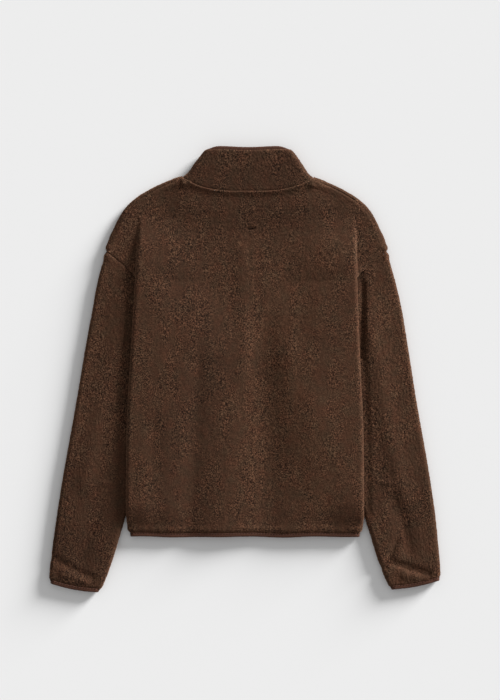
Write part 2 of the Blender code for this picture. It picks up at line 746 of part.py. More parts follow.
def zip_heights():
    """Levels up the zip, and the height of its tape, which rises where the collar is thicker."""
    top = COLLAR_TOP_Y - FRONT_NECK_DROP + 0.0045
    ys = np.linspace(HEM_Y - BINDING_WIDTH, top, 26)
    rise = [ease((y - 0.225) / 0.045) for y in ys]
    return ys, [TAPE_Z + (COLLAR_TAPE_Z - TAPE_Z) * r for r in rise]


def zip_tape(name, side, look):
    """One side's tape, from its front's edge to just short of the middle."""
    ys, heights = zip_heights()
    reach = (TAPE_SPLIT, ZIP_GAP - SEAM)
    sheet = [[(side * x, y, z) for x in reach] for y, z in zip(ys, heights)]
    return wall(name, sheet, TAPE_THICK, look)


def zip_teeth(look):
    """The closed teeth, as the plain strip that they fill."""
    ys, heights = zip_heights()
    low_end, top_end = HEM_Y + 0.0055, SLIDER_Y - SLIDER_LENGTH / 2 - SEAM
    path = []
    for y in np.linspace(low_end, top_end, 22):
        z = np.interp(y, ys, heights) - TAPE_THICK / 2 - SEAM - TEETH_THICK / 2
        path.append((0, y, z))
    return strip("zip_teeth", path, [(1, 0, 0)] * len(path), look, TEETH_WIDTH, TEETH_THICK)


def box(work, low, high):
    """A box added to a bmesh, from its low corner to its high one."""
    low, high = np.array(low), np.array(high)
    made = bmesh.ops.create_cube(work, size=1.0)["verts"]
    bmesh.ops.scale(work, vec=high - low, verts=made)
    bmesh.ops.translate(work, vec=(low + high) / 2, verts=made)


def hard_piece(name, boxes, y, look):
    """Boxes joined into one solid, set at the zip's place at level y."""
    parts = []
    for k, (low, high) in enumerate(boxes):
        mesh = bpy.data.meshes.new(f"{name}_{k}")
        work = bmesh.new()
        box(work, low, high)
        work.to_mesh(mesh)
        work.free()
        obj = bpy.data.objects.new(mesh.name, mesh)
        bpy.context.scene.collection.objects.link(obj)
        parts.append(obj)
    first = parts[0]
    first.name = name
    for other in parts[1:]:
        join = first.modifiers.new("join", "BOOLEAN")
        join.operation = "UNION"
        join.solver = "EXACT"
        join.object = other
    bpy.context.view_layer.update()
    evaluated = first.evaluated_get(bpy.context.evaluated_depsgraph_get())
    joined = bpy.data.meshes.new_from_object(evaluated)
    first.modifiers.clear()
    for other in parts[1:]:
        bpy.data.objects.remove(other)
    first.data = joined
    joined.materials.clear()
    joined.materials.append(look)
    first.location = (lean([0.0, y, 0.0])[0], y, 0.0)
    return first


def zip_box(look):
    """The box at the foot of the zip that the two tapes part from."""
    half, z_top = 0.0045, TAPE_Z - TAPE_THICK / 2 - SEAM
    boxes = [((-half, -0.0058, 0.0006), (half, 0.0050, z_top))]
    return hard_piece("zip_box", boxes, HEM_Y, look)


def zip_slider(look):
    """Two plates round the tapes, the post between them and the bridge that holds the tab."""
    wide, long = SLIDER_WIDTH / 2, SLIDER_LENGTH / 2
    lower_top = COLLAR_TAPE_Z - TAPE_THICK / 2 - PLATE_CLEAR
    upper_low = COLLAR_TAPE_Z + TAPE_THICK / 2 + PLATE_CLEAR
    lower_low = lower_top - PLATE_THICK
    post = TAPE_SPLIT - PLATE_CLEAR
    bridge, reach = BRIDGE_WIDTH / 2, BRIDGE_REACH
    bar_low = TAB_HINGE_Z - BRIDGE_REACH
    lap = 0.0002
    boxes = [
        ((-wide, -long, lower_low), (wide, long, lower_top)),
        ((-wide, -long, upper_low), (wide, long, upper_low + PLATE_THICK)),
        ((-post, -0.001, lower_top - lap), (post, long - 0.001, upper_low + lap)),
        ((-bridge, -reach, bar_low), (bridge, -reach + BRIDGE_THICK, lower_low + lap)),
        ((-bridge, reach - BRIDGE_THICK, bar_low), (bridge, reach, lower_low + lap)),
        ((-bridge, -reach, bar_low), (bridge, reach, bar_low + BRIDGE_THICK)),
    ]
    return hard_piece("zip_slider", boxes, SLIDER_Y, look)


def zip_pull(look):
    """The pull tab, hanging down the zip from its crossbar in the slider's bridge."""
    wide, thick = TAB_WIDTH / 2, TAB_THICK / 2
    z_low, z_high = TAB_HINGE_Z - thick, TAB_HINGE_Z + thick
    boxes = [
        ((-wide, -thick, z_low), (wide, thick, z_high)),
        ((-wide, -TAB_WINDOW - 0.001, z_low), (-wide + TAB_RAIL, thick, z_high)),
        ((wide - TAB_RAIL, -TAB_WINDOW - 0.001, z_low), (wide, thick, z_high)),
        ((-wide, -TAB_LENGTH, z_low), (wide, -TAB_WINDOW, z_high)),
    ]
    return hard_piece("zip_pull", boxes, SLIDER_Y, look)


def main():
    for obj in list(bpy.data.objects):
        bpy.data.objects.remove(obj)
    fleece = material("cocoa_fleece", COCOA, 0.95)
    binding = material("brown_binding", BINDING_BROWN, 0.55)
    zip_cloth = material("zip_tape_cloth", ZIP_BROWN, 0.8)
    zip_resin = material("zip_teeth_resin", ZIP_BROWN, 0.4)
    zip_metal = material("zip_slider_metal", DARK_METAL, 0.35, 1.0)

    back_panel(fleece)
    front_panel("front_right", 1, fleece)
    front_panel("front_left", -1, fleece)
    sleeve("sleeve_right", 1, RIGHT_SLEEVE_CREASES, fleece)
    sleeve("sleeve_left", -1, LEFT_SLEEVE_CREASES, fleece)
    collar(fleece)
    hem_binding(binding)
    cuff_binding("cuff_binding_right", 1, RIGHT_SLEEVE_CREASES, binding)
    cuff_binding("cuff_binding_left", -1, LEFT_SLEEVE_CREASES, binding)
    collar_binding(binding)
    zip_tape("zip_tape_right", 1, zip_cloth)
    zip_tape("zip_tape_left", -1, zip_cloth)
    zip_teeth(zip_resin)
    zip_box(zip_resin)
    zip_slider(zip_metal)
    zip_pull(zip_metal)


main()
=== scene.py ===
"""Deep-pile fleece jacket, laid flat on its front with its back up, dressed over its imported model."""

import math
from bisect import bisect_right
from collections import namedtuple

import bmesh
import bpy
import numpy as np
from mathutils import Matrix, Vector, noise


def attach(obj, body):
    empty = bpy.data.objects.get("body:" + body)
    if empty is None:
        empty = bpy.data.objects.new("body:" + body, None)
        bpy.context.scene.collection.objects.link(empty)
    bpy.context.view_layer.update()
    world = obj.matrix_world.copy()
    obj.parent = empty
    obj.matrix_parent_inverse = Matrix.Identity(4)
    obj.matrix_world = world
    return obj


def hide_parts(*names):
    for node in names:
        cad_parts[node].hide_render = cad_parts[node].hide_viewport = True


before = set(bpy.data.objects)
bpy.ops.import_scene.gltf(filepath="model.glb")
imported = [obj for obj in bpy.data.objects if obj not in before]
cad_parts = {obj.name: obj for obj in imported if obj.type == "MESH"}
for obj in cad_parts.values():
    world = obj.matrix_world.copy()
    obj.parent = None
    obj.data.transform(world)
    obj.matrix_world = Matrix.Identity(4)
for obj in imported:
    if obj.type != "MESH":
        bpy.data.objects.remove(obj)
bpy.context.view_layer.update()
bpy.ops.object.select_all(action="DESELECT")


# Fleece cloth
# The jacket's cloth is a knitted ground with a deep, curly pile, brushed and then tumbled into
# small tufts. The tufts stand in the mesh. Their curls and colours are in the material.


class Wire:
    """A socket that Python operators turn into Math nodes."""

    def __init__(self, board, socket):
        self.board, self.socket = board, socket

    def __add__(self, other):
        return self.board.math("ADD", self, other)

    def __sub__(self, other):
        return self.board.math("SUBTRACT", self, other)

    def __rsub__(self, other):
        return self.board.math("SUBTRACT", other, self)

    def __mul__(self, other):
        return self.board.math("MULTIPLY", self, other)

    __radd__ = __add__


class Board:
    """A material's node tree. node() adds one node and returns one of its outputs."""

    def __init__(self, name, roughness, **constants):
        self.material = bpy.data.materials.new(name)
        self.material.use_nodes = True
        self.tree = self.material.node_tree
        self.shader = self.tree.nodes["Principled BSDF"]
        self.shader.inputs["Roughness"].default_value = roughness
        for socket, value in constants.items():
            self.shader.inputs[socket.replace("_", " ")].default_value = value
        self.place = self.node("ShaderNodeTexCoord", "Object")

    def node(self, kind, output, *values, stops=None, named=None, **settings):
        made = self.tree.nodes.new(kind)
        for setting, value in settings.items():
            setattr(made, setting, value)
        if stops:
            ramp = made.color_ramp
            while len(ramp.elements) < len(stops):
                ramp.elements.new(0.5)
            for element, (position, colour) in zip(ramp.elements, stops):
                element.position, element.color = position, (*colour, 1)
        for socket, value in [*enumerate(values), *(named or {}).items()]:
            if isinstance(value, Wire):
                self.tree.links.new(value.socket, made.inputs[socket])
            else:
                made.inputs[socket].default_value = value
        return Wire(self, made.outputs[output])

    def math(self, operation, first, second, clamp=False):
        return self.node("ShaderNodeMath", "Value", first, second, operation=operation,
                         use_clamp=clamp)

    def grain(self, scale, detail=2.0, rough=0.5, warp=0.0, place=None):
        named = {"Scale": scale, "Detail": detail, "Roughness": rough, "Distortion": warp}
        return self.node("ShaderNodeTexNoise", "Fac", place or self.place, named=named)

    def clamped(self, wire):
        return self.math("ADD", wire, 0.0, clamp=True)

    def between(self, share, low, high):
        """The colour low where share is 0, and high where it is 1."""
        return self.node("ShaderNodeMix", 2, named={0: share, 6: (*low, 1), 7: (*high, 1)},
                         data_type="RGBA", clamp_factor=True)

    def raised(self, height, strength, distance):
        named = {"Height": height, "Strength": strength, "Distance": distance}
        return self.node("ShaderNodeBump", "Normal", named=named)

    def give(self, **wires):
        for socket, wire in wires.items():
            self.tree.links.new(wire.socket, self.shader.inputs[socket.replace("_", " ")])
        return self.material


# The pile's colours. The darkest and lightest serve random tone, and also painted shade in the curls'
# hollows and painted highlights on their tops.
PILE_LIGHT_AND_PAINTED_HIGHLIGHT = (0.143, 0.0698, 0.0382)
TUFT_MIDDLE = (0.0525, 0.0243, 0.0130)
PILE_DARK_AND_PAINTED_SHADE = (0.009, 0.0038, 0.0022)
WARM_SHEEN = (0.80, 0.43, 0.26, 1.0)


def fleece_material():
    """Fine curls all over, ruffled into wandering grooves in long patches down the garment."""
    board = Board("fleece_pile", 0.92, Sheen_Weight=0.30, Sheen_Roughness=0.40,
                  Sheen_Tint=WARM_SHEEN, Specular_IOR_Level=0.10)
    long_way = board.node("ShaderNodeMapping", "Vector", board.place,
                          named={"Scale": (1.0, 0.42, 1.0)})
    board.place = board.node("ShaderNodeMapping", "Vector", board.place,
                             named={"Scale": (1.0, 0.80, 1.0)})
    tuft = board.node("ShaderNodeAttribute", "Fac", attribute_name="tuft")
    # How much lighter the pile's colour is made, from the mesh: toning, and painted light and shade
    pile_toning_and_painted_light = board.node("ShaderNodeAttribute", "Fac", attribute_name="pile_toning_and_painted_light")
    curls, strands = board.grain(580, 0.0), board.grain(430, 0.0)
    patches, broad = board.grain(30, 2.0), board.grain(9, 2.0)
    ruffled = board.clamped((board.grain(44, 1.0, place=long_way) - 0.36) * 4.0)
    parting = board.grain(190, 1.0, 0.4, 0.7) - 0.5
    grooves = board.clamped(1 - parting * parting * 700) * (0.25 + ruffled * 0.75)
    curled = (curls - 0.5) * 0.90 + (strands - 0.5) * 0.26
    # Painted highlight and painted shade: the colour is lighter on the curls' tops and the mesh's
    # tufts, and darker in the curls' hollows, between the tufts and in the grooves.
    tone_and_painted_light = 0.405 + curled * (0.40 + ruffled * 0.82) + (tuft - 0.5) * 0.03 - grooves * 0.045
    # Random tone in patches, plus the pile's toning and painted light and shade from the mesh.
    tone_and_painted_light = tone_and_painted_light + (patches - 0.5) * 0.08 + (broad - 0.5) * 0.09 + pile_toning_and_painted_light
    colour = board.node("ShaderNodeValToRGB", "Color", tone_and_painted_light,
                        stops=[(0.10, PILE_DARK_AND_PAINTED_SHADE), (0.42, TUFT_MIDDLE), (0.80, PILE_LIGHT_AND_PAINTED_HIGHLIGHT)])
    dye = board.between(board.grain(70, 2.0), (0.80, 1.05, 1.08), (1.20, 0.95, 0.92))
    dyed = board.node("ShaderNodeMix", 2, named={0: 1.0, 6: colour, 7: dye}, data_type="RGBA",
                      blend_type="MULTIPLY")
    height = (curls * 0.7 + strands * 0.3) * (0.5 + ruffled * 0.5) - grooves * 0.25
    return board.give(Base_Color=dyed, Normal=board.raised(height, 0.5, 0.0008),
                      Roughness=0.98 - tone_and_painted_light * 0.12)


PILE = fleece_material()
TUFT_SIZE = 0.0029
TUFT_HEIGHT = 0.0006
TUFT_INSIDE = 0.35
NAP = Vector((1.0, 0.85, 1.0))
EDGE_ROUND = 0.0045
OFF_FLOOR = 0.0001
COARSE_STEP = 6

# How far the laid jacket leans, its sleeves shift, and its cuffs and left shoulder move up
LEAN_TO_COLLAR = 0.0055
SLEEVE_SHIFT = 0.0024
CUFF_RISES = (0.0038, -0.0012)
SHOULDER_RISE = 0.0026


def tuft_height(point):
    """0 between the tufts to 1 on their tops. The pile lies down the garment, so they are long."""
    return min(max(0.5 + 0.9 * noise.noise(point * NAP / TUFT_SIZE), 0.0), 1.0)


def ease(t):
    """0 below 0, 1 above 1 and a soft rise between, for a number or an array."""
    t = np.clip(t, 0, 1) if isinstance(t, np.ndarray) else min(max(t, 0.0), 1.0)
    return t * t * (3 - 2 * t)


def lean(points):
    """The laid jacket isn't quite even. It leans to the right towards its collar, its sleeves lie a
    little to the right, its right cuff is higher than its left, its left shoulder is pushed up, and
    its hem waves a little."""
    moved = np.array(points, float)
    x, y = moved[..., 0], moved[..., 1]
    sleeve = ease((np.abs(x) - 0.19) / 0.07)
    fades = np.where(x > 0, 0.10, 0.22)
    right = LEAN_TO_COLLAR * np.clip((y + 0.05) / 0.40, 0, 1) ** 1.5
    right = right + SLEEVE_SHIFT * sleeve * ease((y + 0.33) / fades) * ease((0.17 - y) / 0.08)
    up = np.where(x > 0, *CUFF_RISES) * sleeve * ease((-0.14 - y) / 0.16)
    up = up + SHOULDER_RISE * ease((-0.07 - x) / 0.07) * ease((y - 0.18) / 0.06)
    hem = ease((-0.225 - y) / 0.05) * ease((0.215 - np.abs(x)) / 0.02)
    up = up + hem * (0.0006 * np.sin(x * 41 + 2.2) + 0.0005 * np.sin(x * 67 + 0.6) - 0.0002)
    moved[..., 0] += right
    moved[..., 1] += up
    return moved


def sheet_normals(sheet, ring):
    """The unit normals of a grid of points, from its neighbours each way."""
    if ring:
        across = np.roll(sheet, -1, axis=1) - np.roll(sheet, 1, axis=1)
    else:
        across = np.gradient(sheet, axis=1)
    normals = np.cross(across, np.gradient(sheet, axis=0))
    return normals / np.maximum(np.linalg.norm(normals, axis=2, keepdims=True), 1e-12)


def reach_along(points):
    """How far each point of a line, or of each column of a grid, lies from the first one."""
    steps = np.linalg.norm(np.diff(points, axis=0), axis=-1)
    return np.concatenate([np.zeros_like(steps[:1]), np.cumsum(steps, axis=0)])


def edge_distance(sheet, ring):
    """How far each point of the grid is from the cloth's cut edges, along its rows and columns."""
    down = reach_along(sheet)
    near = np.minimum(down, down[-1] - down)
    if not ring:
        across = reach_along(sheet.swapaxes(0, 1))
        near = np.minimum(near, np.minimum(across, across[-1] - across).T)
    return near


def grown(sheet, first=0.0, last=0.0, start=0.0, stop=0.0):
    """The grid with its first and last rows and columns moved out by these lengths."""
    sheet = np.array(sheet, float)
    grid = sheet.swapaxes(0, 1)
    for rows, low, high in ((sheet, first, last), (grid, start, stop)):
        for edge, inner, length in ((0, 1, low), (-1, -2, high)):
            if length:
                way = rows[edge] - rows[inner]
                way /= np.maximum(np.linalg.norm(way, axis=1, keepdims=True), 1e-9)
                rows[edge] += way * length
    return sheet


def quads(rows, columns, around, ring=False, start=0):
    """The faces of a grid of points that is stored row by row. around joins its last column to
    its first, and ring its last row to its first."""
    faces = []
    for r in range(rows if ring else rows - 1):
        here, there = start + r * columns, start + (r + 1) % rows * columns
        for c in range(columns if around else columns - 1):
            beside = (c + 1) % columns
            faces.append((here + c, here + beside, there + beside, there + c))
    return faces


def smooth_object(name, points, faces, look):
    """A smooth object of one material, with all its faces turned outwards."""
    mesh = bpy.data.meshes.new(name)
    mesh.from_pydata([tuple(p) for p in points], [], faces)
    work = bmesh.new()
    work.from_mesh(mesh)
    bmesh.ops.recalc_face_normals(work, faces=work.faces)
    work.to_mesh(mesh)
    work.free()
    mesh.shade_smooth()
    mesh.materials.append(look)
    obj = bpy.data.objects.new(name, mesh)
    bpy.context.scene.collection.objects.link(obj)
    return obj


def fleece_piece(name, sheet, thick, outward, ring=False, relief=0.0, roll=0.55, pile_toning_and_painted_light=0.0):
    """A piece of fleece from the grid along its middle: a fine pile side, a coarse plain inside
    made from one point in COARSE_STEP each way, and the rim between them. roll rounds its edges
    off, and the last argument is how much lighter the pile's colour is made, as toning and as
    painted light and shade."""
    sheet = np.array(sheet, float)
    rows, columns = sheet.shape[:2]
    normals = sheet_normals(sheet, ring) * outward
    round_off = 1 - roll * np.clip(1 - edge_distance(sheet, ring) / EDGE_ROUND, 0, 1) ** 2
    height = (thick / 2 - TUFT_HEIGHT * 0.6) * round_off + relief
    ground = lean(sheet + normals * height[..., None])
    tuft = np.array([tuft_height(Vector(p)) for p in ground.reshape(-1, 3)])
    pile = ground + normals * (TUFT_HEIGHT * tuft.reshape(rows, columns, 1))
    pile[..., 2] = np.maximum(pile[..., 2], OFF_FLOOR)
    inside = lean(sheet - normals * (thick / 2))[::COARSE_STEP, ::COARSE_STEP]
    low_rows, low_columns = inside.shape[:2]
    points = np.concatenate([pile.reshape(-1, 3), inside.reshape(-1, 3)])
    start = rows * columns
    faces = quads(rows, columns, ring) + quads(low_rows, low_columns, ring, start=start)
    for c in range(low_columns if ring else low_columns - 1):
        fine = [(c * COARSE_STEP + k) % columns for k in range(COARSE_STEP + 1)]
        for row, low_row in ((0, 0), (rows - 1, low_rows - 1)):
            low = [start + low_row * low_columns + k for k in ((c + 1) % low_columns, c)]
            faces.append([*[row * columns + k for k in fine], *low])
    for r in range(0 if ring else low_rows - 1):
        fine = [r * COARSE_STEP + k for k in range(COARSE_STEP + 1)]
        for column, low_column in ((0, 0), (columns - 1, low_columns - 1)):
            low = [start + k * low_columns + low_column for k in (r + 1, r)]
            faces.append([*[k * columns + column for k in fine], *low])
    obj = smooth_object(name, points, faces, PILE)
    # The pile's toning, with its painted light and shade, for the material
    toning_and_painted_light = (np.zeros((rows, columns)) + pile_toning_and_painted_light).ravel()
    for attribute, shown, hidden in (("tuft", tuft, TUFT_INSIDE), ("pile_toning_and_painted_light", toning_and_painted_light, 0.0)):
        values = np.concatenate([shown, np.full(len(points) - start, hidden)])
        obj.data.attributes.new(attribute, "FLOAT", "POINT").data.foreach_set("value", values)
    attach(obj, "jacket")
    return obj


# Back
# One panel of fleece from side seam to side seam, dropped at the shoulders. As the jacket lies,
# its sides fold under over the sleeves, and a pleat of it stands in each shoulder.

FLEECE = 0.0045
AIR = 0.0035
SEAM = 0.0003
LOW = FLEECE / 2
HIGH = LOW + FLEECE + AIR
EMPTY_SLEEVE = 2 * FLEECE + AIR
PRESSED = 0.0015
OVER_SLEEVE = EMPTY_SLEEVE - PRESSED + 0.0004
BEND = (HIGH - LOW) / 2
HEM_Y = -0.2712
UNDERARM_Y = 0.0250
TAIL_ENDS_Y = 0.1455
CAP_STARTS_Y = 0.1586
CAP_LOW_Y = 0.1730
NOTCH_Y = 0.1950
PLEAT_STARTS_Y = 0.2560
NECK_POINT_Y = 0.3160
NECK_CENTRE_Y = 0.2940


class Curve:
    """A value for each level, on a smooth line through its rows that never swings past them."""

    def __init__(self, *rows):
        self.first, self.last = rows[0][0], rows[-1][0]
        self.ys, self.xs = map(list, zip(*sorted(rows)))
        rates = [(x2 - x1) / (y2 - y1) for y1, x1, y2, x2 in
                 zip(self.ys, self.xs, self.ys[1:], self.xs[1:])]
        inner = [2 * a * b / (a + b) if a * b > 0 else 0.0 for a, b in zip(rates, rates[1:])]
        self.slopes = [rates[0], *inner, rates[-1]]

    def __call__(self, y):
        ys, xs = self.ys, self.xs
        y = min(max(y, ys[0]), ys[-1])
        k = min(bisect_right(ys, y) - 1, len(ys) - 2)
        span = ys[k + 1] - ys[k]
        t = (y - ys[k]) / span
        rise, fall = t * t * (3 - 2 * t), t * (1 - t) ** 2
        bend = self.slopes[k] * fall - self.slopes[k + 1] * t * t * (1 - t)
        return xs[k] * (1 - rise) + xs[k + 1] * rise + span * bend


# How far out each outline lies at a level, and how high the side lies on the sleeve below it.
# Each row is a level and its value.
SIDE_FOLD = Curve((-0.2712, 0.1900), (-0.2620, 0.1938), (-0.240, 0.1965), (-0.116, 0.1955),
                  (0.049, 0.1880), (0.154, 0.1832), (0.256, 0.1795))
SHOULDER = Curve((0.1950, 0.2327), (0.2137, 0.2285), (0.2300, 0.2210), (0.2467, 0.2130),
                 (0.2630, 0.2030), (0.2797, 0.1865), (0.2930, 0.1660), (0.3060, 0.1400),
                 (0.3160, 0.1090))
SLEEVE_OUTER = Curve((0.1950, 0.2327), (0.1477, 0.2460), (0.0650, 0.2615), (-0.0500, 0.2805),
                     (-0.1820, 0.3036), (-0.2980, 0.3193), (-0.3310, 0.3230), (-0.3460, 0.3236))
SLEEVE_INNER = Curve((0.0250, 0.1150), (-0.0500, 0.1350), (-0.1500, 0.1650), (-0.2650, 0.2040),
                     (-0.3140, 0.2186), (-0.3473, 0.2310), (-0.3620, 0.2380))
SIDE_LIFT = Curve((-0.2712, 0.0024), (-0.255, 0.0048), (-0.240, 0.0082), (-0.220, 0.0112),
                  (-0.195, OVER_SLEEVE), (0.165, OVER_SLEEVE), (0.205, 0.0078),
                  (0.235, 0.0028), (0.256, 0.0))
ARMHOLE_BULGE = 0.0205
ARMHOLE_GAP = 0.0007
SIDE_RAMP = 0.115
UNDER_RAMP = 0.023
SIDE_SEAM_IN = 0.037
NECK_RISE = 0.0030
BACK_BENDS_Y = 0.200
WRAP_GROWS = 0.0075
TURN_HANDLE = 1.32
BACK_PITCH, FRONT_PITCH = 0.0021, 0.0027
Fold = namedtuple("Fold", "x_top x_foot y_top y_foot width height")
BACK_FOLDS = [
    Fold(-0.006, -0.002, 0.235, -0.020, 0.014, 0.0012),
    Fold(-0.026, -0.038, 0.130, -0.290, 0.040, 0.0036),
    Fold(0.034, 0.036, 0.110, -0.270, 0.020, -0.0016),
    Fold(0.073, 0.080, 0.090, -0.260, 0.022, 0.0016),
    Fold(-0.074, -0.094, 0.070, -0.290, 0.015, -0.0018),
    Fold(0.106, 0.112, 0.000, -0.290, 0.022, 0.0014),
    Fold(0.098, 0.090, 0.150, -0.020, 0.020, -0.0012),
    Fold(-0.120, -0.112, 0.170, 0.020, 0.022, -0.0012),
    Fold(-0.150, -0.146, -0.060, -0.250, 0.014, -0.0014),
]
MAIN_STEPS, FOLD_STEPS, CAP_STEPS, EDGE_STEPS = 92, 10, 22, 7
TAIL_STEPS = CAP_STEPS + EDGE_STEPS + 1
OUT, UP = np.array([1.0, 0.0, 0.0]), np.array([0.0, 0.0, 1.0])
SIDE_NAMES = ((1, "right"), (-1, "left"))


def armhole(t):
    """A point of the armhole seam, from the shoulder notch at t = 0 to the underarm at t = 1."""
    notch = np.array([SLEEVE_OUTER(NOTCH_Y), NOTCH_Y])
    underarm = np.array([SLEEVE_INNER(UNDERARM_Y), UNDERARM_Y])
    chord = underarm - notch
    inward = np.array([chord[1], -chord[0]]) / np.linalg.norm(chord)
    return notch + chord * t + inward * 4 * t * (1 - t) * ARMHOLE_BULGE


ARMHOLE_POINTS = np.array([armhole(t) for t in np.linspace(1, 0, 60)])


def armhole_x(y):
    return float(np.interp(y, ARMHOLE_POINTS[:, 1], ARMHOLE_POINTS[:, 0]))


def sleeve_inner_x(y):
    return armhole_x(y) if y > UNDERARM_Y else SLEEVE_INNER(y)


def seam_parting(y):
    """0 at the underarm, where side seam and sleeve start together, 1 where they are apart."""
    return ease((UNDERARM_Y - y) / 0.060)


def lift_ramp(y):
    """Where the side of the back begins to rise over the sleeve, and where it lies on it."""
    top = sleeve_inner_x(y) - 0.003
    return top - UNDER_RAMP * max(seam_parting(y), 0.15), top


def lifted(x, y):
    """How far the turned-under side of the back is held up by the sleeve below it."""
    parting = seam_parting(y)
    foot, top = lift_ramp(y)
    return SIDE_LIFT(y) * (1 - parting + parting * ease((x - foot) / (top - foot)))


def side_seam_x(y):
    return sleeve_inner_x(y) + 0.001 - SIDE_SEAM_IN * seam_parting(y)


def back_fold_height(x, y):
    """The height that the soft folds add. Ridges are above zero and troughs below."""
    total = 0.0
    for fold in BACK_FOLDS:
        share = (fold.y_top - y) / (fold.y_top - fold.y_foot)
        centre = fold.x_top + (fold.x_foot - fold.x_top) * min(max(share, 0), 1)
        fade = ease(share / 0.22) * ease((1.12 - share) / 0.22)
        total += fold.height * fade * math.exp(-(((x - centre) / fold.width) ** 2))
    return total


def ramp_share(x, y):
    """0 where the back begins to rise over the sleeve beside it, and 1 where it lies on it."""
    full = min(sleeve_inner_x(min(y, 0.150)) - 0.004, SIDE_FOLD(y) - 0.012)
    return (abs(x) - (full - SIDE_RAMP)) / SIDE_RAMP


def main_height(x, y, side_level):
    """The middle of the back's cloth between its two side folds."""
    across = abs(x)
    rise = side_level * ease(ramp_share(x, y))
    neck = NECK_RISE * ease((y - 0.225) / 0.070) * ease((0.150 - across) / 0.060)
    return HIGH + rise + neck + back_fold_height(x, y) * ease((0.188 - across) / 0.03)


def arc(centre, out, up, radius, start, stop, steps):
    """Points of an arc, without its first one. Angle 0 points up and 90 degrees points out."""
    angles = np.radians(np.linspace(start, stop, steps + 1)[1:])
    return [centre + radius * (math.cos(a) * up + math.sin(a) * out) for a in angles]


def shoulder_normal(y):
    """Which way the shoulder outline faces, seen from above."""
    low, high = max(y - 0.004, NOTCH_Y), min(y + 0.004, NECK_POINT_Y)
    run = SHOULDER(high) - SHOULDER(low)
    normal = np.array([high - low, -run, 0.0])
    return normal / np.linalg.norm(normal)


def folded_under(end, y_edge, level_y):
    """From the side fold under to the side seam or the hidden armhole."""
    row = arc(end - BEND * UP, OUT, UP, BEND, 0, 180, FOLD_STEPS)
    start, stop = end[0], min(side_seam_x(y_edge), end[0] - 0.002)
    if y_edge > UNDERARM_Y:
        spread = ease((y_edge - UNDERARM_Y) / 0.070)
        close = stop + 0.012 * np.linspace(1, 0, TAIL_STEPS) ** 1.4
        places = np.linspace(start, stop, TAIL_STEPS + 1)[1:] * spread + close * (1 - spread)
    else:
        foot, top = lift_ramp(y_edge)
        shares = np.linspace(0, 1, TAIL_STEPS - 2)
        places = [top + 0.003, *(top + (foot - top) * shares), stop]
        for k, place in enumerate(places):
            before = places[k - 1] if k else start
            places[k] = max(min(place, before - 0.0006), stop + 0.0004 * (TAIL_STEPS - 1 - k))
    return row + [np.array([x, y_edge, LOW + lifted(x, level_y)]) for x in places]


def turned_down(end, y_edge):
    """Where the armhole passes under the side fold: from a fold under to a step down and out."""
    swing = (y_edge - TAIL_ENDS_Y) / (CAP_STARTS_Y - TAIL_ENDS_Y)
    angle = math.pi * (1 - swing)
    tip_x = end[0] - 0.002 + swing * (armhole_x(CAP_STARTS_Y) - ARMHOLE_GAP - end[0] + 0.002)
    tip = np.array([tip_x, y_edge, end[2] - 2 * BEND])
    way = math.cos(angle) * OUT - math.sin(angle) * UP
    middle = tip - way * (TURN_HANDLE * BEND + 0.0006)
    first = end + (TURN_HANDLE - 0.65 * math.sin(angle)) * BEND * OUT
    shares = [*np.linspace(0, 0.85, FOLD_STEPS + 1)[1:], *np.linspace(0.85, 1, TAIL_STEPS + 1)[1:]]
    return [(1 - t) ** 3 * end + 3 * (1 - t) ** 2 * t * first + 3 * (1 - t) * t**2 * middle
            + t**3 * tip for t in shares]


def stepped_down(end, step, y_at):
    """The pleat's edge in the shoulder: a double bend from the back's middle down to its cap."""
    half = FOLD_STEPS // 2
    if step >= 2 * BEND:
        row = arc(end - BEND * UP, OUT, UP, BEND, 0, 90, half)
        turn = row[-1] - (step - 2 * BEND) * UP + BEND * OUT
        return row + arc(turn, -UP, -OUT, BEND, 0, 90, half)
    row = []
    for share in np.linspace(0, 1, FOLD_STEPS + 1)[1:]:
        x = end[0] + 2 * BEND * share
        row.append(np.array([x, y_at(x), end[2] - step * ease(share)]))
    return row


def shoulder_edge(start, y_edge, y_at):
    """From the pleat to the shoulder outline, over it and a little way under."""
    normal = shoulder_normal(y_edge)
    base = np.array([SHOULDER(y_edge), y_edge, HIGH]) - normal * (FLEECE / 2 + BEND)
    row = []
    for share in np.linspace(0, 1, CAP_STEPS + 1)[1:]:
        place = start + (base - start) * share
        place[1] = y_at(place[0]) * (1 - share**2) + place[1] * share**2
        row.append(place)
    wrap = 40 + 140 * min((y_edge - NOTCH_Y) / WRAP_GROWS, 1)
    row += arc(base - BEND * UP, normal, UP, BEND, 0, wrap, EDGE_STEPS)
    way = math.cos(math.radians(wrap)) * normal - math.sin(math.radians(wrap)) * UP
    return row + [row[-1] + way * 0.0020]


